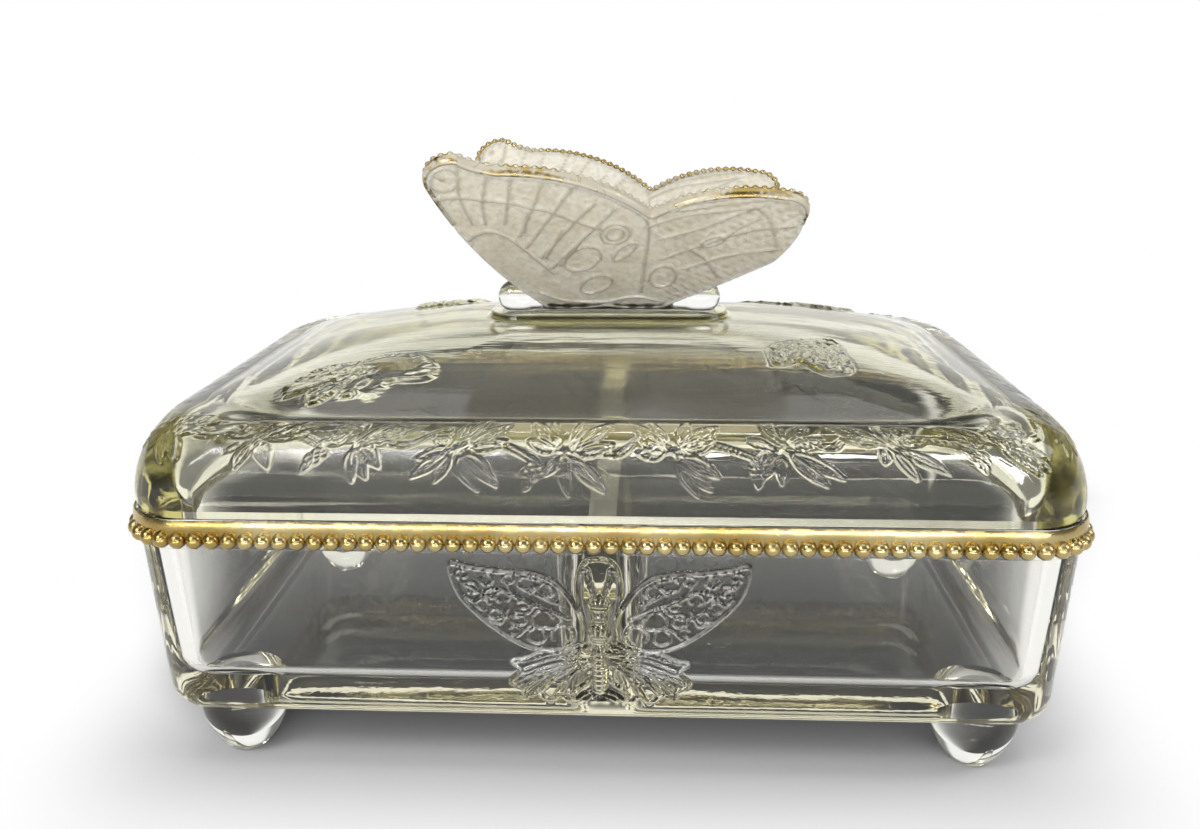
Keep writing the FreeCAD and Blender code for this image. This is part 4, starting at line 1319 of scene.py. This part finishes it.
def arc_through(first: np.ndarray, middle: np.ndarray, last: np.ndarray, count: int) -> np.ndarray:
    """Arc of the circle through three places, in the plane.

    Args:
        first: where it starts.
        middle: a place on it.
        last: where it ends.
        count: places wanted, the last end left out.

    Returns:
        The places, one a row.
    """
    chords = 2 * np.stack([middle - first, last - first])
    centre = np.linalg.solve(chords, [middle @ middle - first @ first, last @ last - first @ first])
    angles = np.array([math.atan2(*(place - centre)[::-1]) for place in (first, middle, last)])
    angles = np.unwrap(angles)
    radius = np.linalg.norm(first - centre)
    turn = np.linspace(angles[0], angles[2], count, endpoint=False)
    return centre + radius * np.stack([np.cos(turn), np.sin(turn)], axis=-1)


def wing_edge() -> np.ndarray:
    """Outline of a wing over both tips, from its left foot to its right foot, at even steps."""
    arcs = [arc_through(*places, 60) for places in zip(WING_JOINTS, WING_MIDDLES, WING_JOINTS[1:])]
    return even_steps(np.concatenate(arcs + [WING_JOINTS[-1:]]), 400)


@dataclass
class WingPlace:
    """Where a wing stands: its foot beside the body's axis and its lean."""

    side: Side
    foot: float = 2.5
    axis: float = 85.1
    lean: float = math.radians(45)

    def points(self, along: np.ndarray, up: np.ndarray, out: np.ndarray) -> np.ndarray:
        """Places in the frame from places on the wing.

        Args:
            along: along the body.
            up: up the wing's slope.
            out: off the wing's middle plane, towards its lower face.

        Returns:
            The places, with a last axis of three.
        """
        sine, cosine = math.sin(self.lean), math.cos(self.lean)
        across = self.side.value * (self.foot + sine * up + cosine * out)
        return np.stack([along, across, self.axis + cosine * up - sine * out], axis=-1)

    def spots(self, points: np.ndarray) -> tuple[np.ndarray, np.ndarray, np.ndarray]:
        """Places on the wing from places in the frame.

        Args:
            points: places in the frame, one a row.

        Returns:
            Along the body, up the wing's slope and off its middle plane.
        """
        sine, cosine = math.sin(self.lean), math.cos(self.lean)
        across, rise = self.side.value * points[:, 1] - self.foot, points[:, 2] - self.axis
        return points[:, 0], sine * across + cosine * rise, cosine * across - sine * rise


# Lines on a wing: along the body, up the wing
WING_VEINS = (
    ((-30.6, 33.1), (-25.8, 33.6), (-21.8, 32.9), (-17.3, 32.2), (-13.3, 30.7), (-9.7, 29.7), (-5.7, 27.1),
     (-0.7, 24.5)),
    ((-26.1, 21.1), (-24.7, 22.6), (-22.6, 23.6), (-20.5, 23.4), (-18.1, 21.5), (-14.7, 16.7), (-10.6, 10.2)),
    ((-25.2, 41.4), (-25.8, 33.6), (-24.6, 25.9)), ((-20.1, 40.0), (-21.8, 32.9), (-22.3, 26.0)),
    ((-15.9, 39.3), (-17.2, 32.5), (-18.7, 26.0)), ((-10.2, 38.6), (-13.0, 30.4), (-16.3, 22.2)),
    ((-5.0, 37.1), (-8.8, 30.0), (-15.3, 18.7)), ((-1.4, 32.0), (-6.1, 25.6), (-12.6, 15.5)),
    ((2.6, 30.8), (-4.2, 21.4), (-11.2, 11.7)), ((-7.8, 24.5), (-9.8, 20.0), (-11.7, 15.5)),
    ((-13.9, 29.7), (-14.7, 26.6), (-15.2, 23.6)), ((-3.7, 22.2), (-6.2, 17.8), (-9.1, 13.0)),
    ((8.2, 27.6), (8.4, 22.2), (7.5, 11.7), (6.9, 3.9)),
    ((8.6, 28.0), (11.4, 29.6), (15.0, 30.0), (21.8, 31.6), (29.1, 32.6)),
    ((8.7, 25.4), (14.6, 28.3), (21.8, 29.6), (28.4, 30.8)), ((10.6, 21.4), (17.5, 24.4), (24.1, 28.4), (29.2, 31.2)),
    ((10.7, 15.1), (17.8, 19.1), (26.9, 23.7), (35.5, 25.3)), ((15.2, 11.8), (22.8, 15.9), (28.9, 17.5), (33.6, 18.3)),
    ((22.4, 21.4), (25.0, 24.4), (28.4, 27.3)), ((15.4, 19.1), (19.4, 15.1), (22.2, 9.2)),
    ((27.5, 31.2), (30.7, 27.3), (33.0, 19.0)), ((-14.0, 3.4), (-8.6, 0.6), (-1.0, 0.2)),
    ((-0.6, 0.2), (5.6, 2.1), (11.4, 0.3)),
)
# Cells on a wing: middle, half length, half width and tilt in degrees
WING_CELLS = (
    (-4.5, 15.1, 4.6, 2.9, 50), (-2.2, 6.6, 3.9, 2.4, 45), (3.8, 17.5, 3.4, 1.2, 52), (2.1, 23.0, 3.1, 2.6, 60),
    (2.1, 23.0, 1.9, 1.6, 60), (11.2, 9.2, 3.6, 2.5, 75), (-27.8, 38.4, 3.2, 2.4, 60), (20.6, 20.6, 2.4, 1.2, 30),
)


@dataclass
class ButterflyFinial:
    """Frosted wings with raised veins, on a clear rounded body that stands on the lid's plinth."""

    thickness: float = 2.4
    gilt_floor: float = 25.2
    vein: float = 0.42
    body_half: float = 23.5
    body_radius: float = 3.5
    body_axis: float = 85.1
    body_sink: float = 0.25
    seat: float = 82.5
    outer_rows: int = 112
    inner_rows: int = 60
    inner_relief: float = 0.5
    flat_share: float = 0.94
    main_vein_width: float = 0.56
    vein_width: float = 0.46
    hatching: float = 0.18

    def build(self, finishes: Finishes) -> None:
        """Makes the body and both wings and dresses them.

        Args:
            finishes: the finishes of the box.
        """
        dress(self._body(), finishes.clear, Body.LID, Slot.CLEAR)
        for side in Side:
            dress(self._wing(side), finishes.frosted, Body.LID, Slot.FROSTED, "butterfly_finial")

    def _body(self) -> bpy.types.Object:
        """Body turned about its length: two round ends and a slimmer waist, flattened where it stands.

        Returns:
            The body.
        """
        way = np.linspace(0, math.pi, 90)
        along = -self.body_half * np.cos(way)
        ends = np.sqrt(np.clip(1 - (np.clip(np.abs(along) - 20.0, 0, None) / 3.5) ** 2, 0, None))
        rings = 0.03 * (1 + np.cos(along * TURN / 3.4)) * (np.abs(along) < 15.5)
        waist = 1 - 0.16 * ramp(-np.abs(along), -18.5, -15.5) - rings
        radius = self.body_radius * ends * waist
        turn = np.linspace(0, TURN, 48, endpoint=False)
        level = self.body_axis + radius[:, None] * np.sin(turn)
        level = np.maximum(level, self.seat - self.body_sink)
        shell = Shell()
        across = radius[:, None] * np.cos(turn)
        shell.grid(np.stack(np.broadcast_arrays(along[:, None], across, level), axis=-1), wrap=True)
        return shell.make("finial_body")

    def _wing(self, side: Side) -> bpy.types.Object:
        """Wing plate: two faces that meet in a rounded edge, the outer one fine enough for its veins.

        Args:
            side: which wing.

        Returns:
            The wing, with its veins marked for the painted shade of the finish.
        """
        edge = wing_edge()
        inward = ROOT - edge
        inward /= np.linalg.norm(inward, axis=1, keepdims=True)
        edge = edge + inward * (0.4 * ramp(edge[:, 1], self.gilt_floor - 1.5, self.gilt_floor + 0.5))[:, None]
        foot = np.linspace(edge[-1], edge[0], 42)[1:-1]
        foot[:, 1] -= 0.5 * np.abs(np.sin(np.linspace(0, TURN, len(foot))))
        outline = np.concatenate([edge, foot])
        bend = np.sin(np.linspace(0, math.pi / 2, 8))[1:]
        place, shell = WingPlace(side), Shell()
        flat = self.flat_share
        rows = np.concatenate([np.linspace(0, flat, self.outer_rows), flat + (1 - flat) * bend])
        along, up, half, raised = self._face(outline, rows)
        outer = place.points(along, up, half + raised)
        chosen = np.arange(0, len(outline), 2)
        rows = np.concatenate([np.linspace(0, flat, self.inner_rows), flat + (1 - flat) * bend[:-1]])
        along, up, half, raised = self._face(outline[chosen], rows)
        inner = place.points(along, up, -half - self.inner_relief * raised)
        shell.grid(outer, wrap=True)
        shell.grid(inner, wrap=True)
        shell.step(outer[-1], inner[-1], chosen)
        piece = shell.make(f"finial_wing_{side.name.lower()}")
        along, up, _ = place.spots(vertex_places(piece))
        # the vein mark is where the frosted finish paints shade
        mark(piece, "vein", np.clip(self._veins(along, up) / self.vein, 0, 1))
        return piece

    def _face(self, outline: np.ndarray, share: np.ndarray) -> tuple[np.ndarray, ...]:
        """Grid of one face: rays from the root to the outline, the plate's half thickness and its veins.

        Args:
            outline: places on the wing's edge.
            share: how far out along its ray each row lies.

        Returns:
            Places along the body, places up the wing, half thickness and height of the veins.
        """
        along, up = (ROOT + share[:, None, None] * (outline - ROOT)).transpose(2, 0, 1)
        margin = np.linalg.norm(outline - ROOT, axis=1) * (1 - share[:, None])
        half = 0.5 * self.thickness * np.sqrt(np.clip(1 - np.clip(1 - margin / 1.1, 0, 1) ** 2, 0, None))
        return along, up, half - 0.32 * ramp(margin, 0.8, 1.6), self._veins(along, up) * ramp(margin, 0.3, 1.4)

    def _veins(self, along: np.ndarray, up: np.ndarray) -> np.ndarray:
        """Raised veins, cells and a fine hatching of the hind wing: the product of two slanted cosines.

        Args:
            along: places along the body.
            up: places up the wing.

        Returns:
            Height of the relief at each place.
        """
        relief = Relief(along, up)
        for number, vein in enumerate(WING_VEINS):
            width = self.main_vein_width if number < 2 else self.vein_width
            relief.line(smooth_curve(np.array(vein), 40), width, self.vein)
        turn = np.linspace(0, TURN, 40)
        for x, y, wide, tall, tilt in WING_CELLS:
            cosine, sine = math.cos(math.radians(tilt)), math.sin(math.radians(tilt))
            cell = np.stack([x + wide * np.cos(turn) * cosine - tall * np.sin(turn) * sine,
                             y + wide * np.cos(turn) * sine + tall * np.sin(turn) * cosine], axis=-1)
            relief.line(cell, self.vein_width, self.vein)
        relief.dome((-28.3, 39.0), (0.8, 0.8), 1.2 * self.vein)
        hatch = np.cos((0.8 * along + 0.6 * up) * TURN / 1.9) * np.cos((0.5 * along - 0.9 * up) * TURN / 5.3)
        relief.raise_to(self.hatching * np.clip(hatch, 0, None) * ramp(along, 8.5, 12.0))
        return relief.height


@dataclass
class RimGilding:
    """Fired gold on the base's rim: a ledge above a row of half-round beads."""

    centre_x: float = 75.5
    centre_y: float = 37.9
    inner: float = 11.94
    face: float = 12.22
    ledge: float = 12.4
    bottom: float = 49.8
    step: float = 51.8
    top: float = 54.0
    bead_level: float = 50.2
    bead_corner: float = 12.0
    bead_radius: float = 1.6
    bead_pitch: float = 3.12

    def build(self, finishes: Finishes) -> None:
        """Makes the ledge and the beads and dresses them."""
        dress(self._ledge(), finishes.gold, Body.BASE, Slot.GOLD, "gilt_bead_band")
        dress(self._beads(), finishes.gold, Body.BASE, Slot.GOLD, "gilt_bead_band")

    def _ledge(self) -> bpy.types.Object:
        """Gold band: a closed profile carried round the rim.

        Returns:
            The band.
        """
        ring = Ring.even(np.linspace(-1, 1, 121), np.linspace(-1, 1, 61), 24)
        corner = np.concatenate([
            [self.inner, self.face - 0.1, self.face, self.face],
            self.ledge - np.array([0.04, 0.0, 0.02, 0.16, 0.3]), [self.inner],
        ])
        level = np.concatenate([
            self.bottom + np.array([0.0, 0.0, 0.15]), self.step + np.array([0.0, 0.3, 0.6, 1.1, 1.8]), [self.top] * 2,
        ])
        loops = ring.loops(self.centre_x + corner, self.centre_y + corner, corner, level)
        shell = Shell()
        shell.grid(np.concatenate([loops, loops[:1]]), wrap=True)
        return shell.make("rim_gilt_ledge", sharp=40)

    def _beads(self) -> bpy.types.Object:
        """Row of beads: the outer part of a ball, repeated at an even pitch round the rim.

        Returns:
            The beads.
        """
        ring = Ring.even(np.linspace(-1, 1, 801), np.linspace(-1, 1, 401), 120)
        corner = np.array([self.bead_corner])
        loop = ring.loops(self.centre_x + corner, self.centre_y + corner, corner, np.array([self.bead_level]))[0]
        path = np.concatenate([loop, ring.outward], axis=1)
        path = np.concatenate([path, path[:1]])
        lengths = np.concatenate([[0], np.cumsum(np.linalg.norm(np.diff(path[:, :2], axis=0), axis=1))])
        count = round(lengths[-1] / self.bead_pitch)
        marks = np.arange(count) * lengths[-1] / count
        place = np.stack([np.interp(marks, lengths, column) for column in path.T], axis=-1)
        return beads("rim_gilt_beads", place[:, :3], np.pad(place[:, 3:], ((0, 0), (0, 1))), self.bead_radius)


def beads(name: str, centres: np.ndarray, outward: np.ndarray, radius: float) -> bpy.types.Object:
    """Closed beads: rings about each bead's outward direction, from its crown to behind its middle.

    Args:
        name: name of the piece.
        centres: middle of each bead.
        outward: direction of each bead's crown.
        radius: radius of every bead.

    Returns:
        The piece, all beads in one mesh.
    """
    outward = outward / np.linalg.norm(outward, axis=1, keepdims=True)
    first = np.cross(outward, np.where(np.abs(outward[:, 2:]) < 0.9, (0.0, 0.0, 1.0), (1.0, 0.0, 0.0)))
    first /= np.linalg.norm(first, axis=1, keepdims=True)
    second = np.cross(outward, first)
    polar = np.radians([0, 24, 48, 70, 90, 112, 112])
    wide = np.sin(polar) * np.array([1, 1, 1, 1, 1, 1, 0])
    turn = np.linspace(0, TURN, 10, endpoint=False)
    rings = (
        centres[:, None, None, :]
        + radius * np.cos(polar)[None, :, None, None] * outward[:, None, None, :]
        + radius * wide[None, :, None, None] * (
            np.cos(turn)[None, None, :, None] * first[:, None, None, :]
            + np.sin(turn)[None, None, :, None] * second[:, None, None, :])
    )
    shell = Shell()
    for ring in rings:
        shell.grid(ring, wrap=True)
    return shell.make(name, sharp=80)


@dataclass
class WingGilding:
    """Fired gold along the tops of the wings: a rounded strip with a row of small beads on its inner face."""

    floor: float = 25.2
    width: float = 1.15
    half: float = 1.18
    bead_radius: float = 0.72
    bead_pitch: float = 1.75
    bead_inset: float = 0.62
    bead_sink: float = 0.35

    def build(self, finishes: Finishes) -> None:
        """Makes the strip and the beads of each wing and dresses them.

        Args:
            finishes: the finishes of the box.
        """
        edge = wing_edge()
        inward = np.stack([np.gradient(edge[:, 1]), -np.gradient(edge[:, 0])], axis=-1)
        inward /= np.linalg.norm(inward, axis=1, keepdims=True)
        gilded = edge[:, 1] > self.floor
        for side in Side:
            place = WingPlace(side)
            for piece in (self._strip(side, place, edge[gilded], inward[gilded]),
                          self._beads(side, place, edge[gilded], inward[gilded])):
                dress(piece, finishes.gold, Body.LID, Slot.GOLD, "gilt_wing_edges")

    def _strip(self, side: Side, place: WingPlace, edge: np.ndarray, inward: np.ndarray) -> bpy.types.Object:
        """Strip: a half-round section carried along the wing's edge and closed at both ends.

        Args:
            side: which wing.
            place: where that wing stands.
            edge: places along the gilded part of its outline.
            inward: directions into the wing at those places.

        Returns:
            The strip, with its wear marked for the finish.
        """
        turn = np.linspace(-math.pi / 2, math.pi / 2, 9)
        depth = np.concatenate([self.width * (1 - np.cos(turn)) * 0.5, [self.width, self.width]])
        out = np.concatenate([self.half * np.sin(turn), [0.8 * self.half, -0.8 * self.half]])
        spot = edge[:, None, :] + depth[None, :, None] * inward[:, None, :]
        points = place.points(spot[..., 0], spot[..., 1], np.broadcast_to(out, spot.shape[:2]))
        ends = points[[0, -1]].mean(axis=1, keepdims=True) + 0 * points[[0, -1]]
        shell = Shell()
        shell.grid(np.concatenate([ends[:1], points, ends[1:]]), wrap=True)
        piece = shell.make(f"wing_gilt_strip_{side.name.lower()}")
        along, _, out = place.spots(vertex_places(piece))
        mark(piece, "rubbed", self._rubbed(side, along, out))
        return piece

    @staticmethod
    def _rubbed(side: Side, along: np.ndarray, out: np.ndarray) -> np.ndarray:
        """How far the gold is worn: a little all over, more on lower faces and on the front wing but for its tips.

        Args:
            side: which wing.
            along: places along the body.
            out: places off the wing's middle plane.

        Returns:
            The wear at each place.
        """
        worn = 0.1 + 0.12 * ramp(out, -0.8, 0.6)
        if side is Side.FRONT:
            worn = np.maximum(worn, 0.24 - 0.12 * ramp(np.abs(along), 22.0, 32.0))
        return worn

    def _beads(self, side: Side, place: WingPlace, edge: np.ndarray, inward: np.ndarray) -> bpy.types.Object:
        """Row of small beads along the strip, standing on its inner face.

        Args:
            side: which wing.
            place: where that wing stands.
            edge: places along the gilded part of its outline.
            inward: directions into the wing at those places.

        Returns:
            The beads, with their wear marked for the finish.
        """
        length = np.linalg.norm(np.diff(edge, axis=0), axis=1).sum()
        path = even_steps(edge + self.bead_inset * inward, 2 + round(length / self.bead_pitch))
        centres = place.points(path[1:-1, 0], path[1:-1, 1], np.full(len(path) - 2, self.bead_sink - self.half))
        sine = math.sin(place.lean)
        outward = np.tile((0.0, -side.value * sine, sine), (len(centres), 1))
        piece = beads(f"wing_gilt_beads_{side.name.lower()}", centres, outward, self.bead_radius)
        along, _, out = place.spots(vertex_places(piece))
        mark(piece, "rubbed", self._rubbed(side, along, out))
        return piece


def stand(thing: bpy.types.Object, axes: tuple[np.ndarray, np.ndarray, np.ndarray],
          place: tuple[float, float, float]) -> None:
    """Puts a camera or a lamp in the scene.

    Args:
        thing: the camera or lamp.
        axes: directions of its own X, Y and Z.
        place: where it stands, in millimetres.
    """
    bpy.context.scene.collection.objects.link(thing)
    matrix = np.eye(4)
    matrix[:3, :3] = np.stack(axes, axis=1)
    matrix[:3, 3] = np.array(place) * MM
    thing.matrix_world = Matrix(matrix.tolist())


@dataclass(frozen=True)
class Softbox:
    """Flat lamp: its place and the point it faces in millimetres, length and height in metres, power in watts."""

    name: str
    place: tuple[float, float, float]
    aim: tuple[float, float, float]
    size: tuple[float, float]
    power: float

    def hang(self) -> None:
        """Hangs the lamp with its face to its aim."""
        light = bpy.data.lights.new(self.name, "AREA")
        light.shape, light.energy = "RECTANGLE", self.power
        light.size, light.size_y = self.size
        back = np.array(self.place, float) - np.array(self.aim, float)
        back /= np.linalg.norm(back)
        right = np.cross((0, 0, 1), back)
        right /= np.linalg.norm(right)
        stand(bpy.data.objects.new(self.name, light), (right, np.cross(back, right), back), self.place)


SOFTBOXES = (
    Softbox("overhead_softbox", (0, 120, 950), (0, 0, 40), (0.9, 0.9), 3.0),
    Softbox("key_softbox", (-420, -460, 620), (0, 0, 60), (0.3, 0.3), 2.2),
    Softbox("side_softbox", (560, -60, 420), (0, 0, 60), (0.3, 0.3), 1.0),
    Softbox("front_strip", (0, -900, 75), (0, 0, 65), (1.4, 0.03), 4.6),
    Softbox("front_high_strip", (0, -800, 433), (0, 0, 65), (1.4, 0.03), 2.2),
)


@dataclass
class Floor:
    """Round pale floor with a painted shadow of the box on it, all sizes but the rings in metres."""

    rings: tuple[float, ...] = (0, 200, 500, 1200, 3000, 8000)
    footprint: tuple[float, float] = (0.08, 0.042)
    contact: float = 0.04
    white_from: float = -0.1
    white_to: float = -0.06
    # colour and shape of the shadow painted under and behind the box
    painted_shadow_tone: tuple[float, float, float, float] = (0.035, 0.035, 0.037, 1)
    shade_half: float = 0.083
    shade_spread: float = 0.45
    shade_widest: float = 0.128
    shade_from: float = -0.03
    shade_shift: float = 0.004
    shade_middle: float = 0.1475
    shade_reach: float = 0.1575
    shade_fade: float = 0.03
    shade_soften: float = 0.1

    def build(self) -> None:
        """Lays the floor, which keeps the lamps' shadow and a painted shadow near the box and turns white beside and
        behind it.
        """
        radius = np.array(self.rings, float)[:, None]
        turn = np.linspace(0, TURN, 64, endpoint=False)
        shell = Shell()
        shell.grid(np.stack(np.broadcast_arrays(radius * np.cos(turn), radius * np.sin(turn), 0.0), axis=-1), wrap=True)
        floor = shell.make("floor")
        material, tree, out = new_material("pale_floor")
        place = tree.add("ShaderNodeTexCoord").outputs["Object"]
        split = tree.add("ShaderNodeSeparateXYZ", Vector=place).outputs
        shade = self._painted_shadow(tree, split)
        away = self._beyond(tree, *(tree.math("SUBTRACT", tree.math("ABSOLUTE", split[axis]), half)
                                    for axis, half in zip("XY", self.footprint)))
        grain = tree.add("ShaderNodeTexNoise", Vector=place, Scale=40.0, Detail=2.0)
        pale = tree.mix(grain.outputs["Fac"], (0.90, 0.90, 0.90, 1), (0.92, 0.92, 0.92, 1))
        # painted shadow: the floor's colour goes almost black under and behind the box
        tone = tree.mix(shade, pale, self.painted_shadow_tone)
        matt = tree.add("ShaderNodeBsdfPrincipled", Base_Color=tone, Roughness=0.9, Specular_IOR_Level=0.1)
        white = tree.add("ShaderNodeEmission", Color=(1, 1, 1, 1), Strength=1.0)
        path = tree.add("ShaderNodeLightPath").outputs
        seen = tree.math("MINIMUM", tree.math("ADD", tree.math("ADD", path["Is Camera Ray"], path["Is Glossy Ray"]),
                                              path["Is Transmission Ray"]), 1.0)
        sweep = tree.math("MULTIPLY", tree.steps(away, 0.0, self.contact),
                          tree.steps(split["Y"], self.white_from, self.white_to))
        bright = tree.math("MULTIPLY", sweep, tree.math("SUBTRACT", 1.0, shade))
        blend = tree.add("ShaderNodeMixShader")
        tree.wire(blend.inputs[0], tree.math("MULTIPLY", seen, bright))
        tree.wire(blend.inputs[1], matt.outputs["BSDF"])
        tree.wire(blend.inputs[2], white.outputs["Emission"])
        tree.wire(out.inputs["Surface"], blend.outputs["Shader"])
        floor.data.materials.append(material)

    @staticmethod
    def _beyond(tree: Tree, *offs: bpy.types.NodeSocket) -> bpy.types.NodeSocket:
        """Distance outside a box: the root of the squares of how far a place lies beyond each pair of sides."""
        squares = [tree.math("POWER", tree.math("MAXIMUM", off, 0.0), 2.0) for off in offs]
        return tree.math("SQRT", tree.math("ADD", *squares))

    def _painted_shadow(self, tree: Tree, place: dict[str, bpy.types.NodeSocket]) -> bpy.types.NodeSocket:
        """Depth of the box's shadow painted into the floor's colour: full under and behind the box, wider with
        distance.

        Args:
            tree: the floor's nodes.
            place: X and Y of places on the floor.

        Returns:
            The share of painted shadow.
        """
        spread = tree.math("MULTIPLY", tree.math("MAXIMUM", place["Y"], self.shade_from), self.shade_spread)
        wide = tree.math("MINIMUM", tree.math("ADD", self.shade_half, spread), self.shade_widest)
        across = tree.math("ABSOLUTE", tree.math("ADD", place["X"], self.shade_shift))
        back = tree.math("ABSOLUTE", tree.math("SUBTRACT", place["Y"], self.shade_middle))
        gap = self._beyond(tree, tree.math("SUBTRACT", across, wide), tree.math("SUBTRACT", back, self.shade_reach))
        soften = tree.math("MULTIPLY", tree.math("MAXIMUM", place["Y"], 0.0), self.shade_soften)
        fade = tree.math("ADD", self.shade_fade, soften)
        return tree.math("SUBTRACT", 1.0, tree.steps(tree.math("DIVIDE", gap, fade), 0.0, 1.0))


@dataclass
class Studio:
    """Pale floor, soft lights, grey surroundings and the camera at the photograph's angle."""

    camera_at: tuple[float, float, float] = (8.72, -211.23, 125.06)
    yaw: float = 0.0510
    pitch: float = 0.3039
    roll: float = -0.0081
    focal: float = 1006.0
    photo_width: float = 1200.0
    sensor: float = 36.0
    bounces: int = 28
    grey: float = 0.22
    dark: float = 0.05

    def build(self) -> None:
        """Sets up the whole studio."""
        scene = bpy.context.scene
        scene.view_settings.view_transform = "Standard"
        scene.cycles.max_bounces = self.bounces
        scene.cycles.transmission_bounces = self.bounces
        scene.cycles.glossy_bounces = 10
        scene.cycles.transparent_max_bounces = 16
        scene.cycles.caustics_refractive = False
        scene.cycles.caustics_reflective = False
        self._camera()
        Floor().build()
        self._world()
        for softbox in SOFTBOXES:
            softbox.hang()
        LOG.info("studio ready")

    def _camera(self) -> None:
        """Pinhole camera: looks along the yawed and pitched direction, then rolls about it."""
        level = math.cos(self.pitch)
        ahead = np.array([-math.sin(self.yaw) * level, math.cos(self.yaw) * level, -math.sin(self.pitch)])
        right = np.array([math.cos(self.yaw), math.sin(self.yaw), 0.0])
        above = np.cross(right, ahead)
        turned = math.cos(self.roll) * right + math.sin(self.roll) * above
        upward = -math.sin(self.roll) * right + math.cos(self.roll) * above
        lens = bpy.data.cameras.new("camera")
        lens.sensor_width = self.sensor
        lens.lens = self.sensor * self.focal / self.photo_width
        lens.clip_start = 0.01
        camera = bpy.data.objects.new("camera", lens)
        stand(camera, (turned, upward, -ahead), self.camera_at)
        bpy.context.scene.camera = camera

    def _world(self) -> None:
        """Grey surroundings, white low behind the box and dark high behind it, where the lid's shoulder looks."""
        world = bpy.data.worlds.new("studio")
        bpy.context.scene.world = world
        world.use_nodes = True
        world.node_tree.nodes.clear()
        tree = Tree(world.node_tree)
        way = tree.add("ShaderNodeSeparateXYZ", Vector=tree.add("ShaderNodeTexCoord").outputs["Generated"]).outputs
        behind = tree.math("MULTIPLY", tree.steps(way["Y"], 0.6, 0.75),
                           tree.math("SUBTRACT", 1.0, tree.steps(way["Z"], 0.3, 0.5)))
        high = tree.math("MULTIPLY", tree.steps(way["Y"], 0.2, 0.4), tree.steps(way["Z"], 0.45, 0.55))
        grey = tree.math("SUBTRACT", self.grey, tree.math("MULTIPLY", high, self.grey - self.dark))
        level = tree.math("ADD", grey, tree.math("MULTIPLY", behind, 1 - self.grey))
        back = tree.add("ShaderNodeBackground", Color=(1, 1, 1, 1), Strength=level)
        out = tree.add("ShaderNodeOutputWorld")
        tree.wire(out.inputs["Surface"], back.outputs["Background"])


def main() -> None:
    """Builds the box, its gold and its studio in order."""
    logging.basicConfig(level=logging.INFO, format="%(name)s: %(message)s")
    finishes = Finishes.build()
    for assembly in (GlassBase(), GlassLid(), ButterflyFinial(), RimGilding(), WingGilding()):
        assembly.build(finishes)
    Studio().build()


if __name__ == "__main__":
    main()
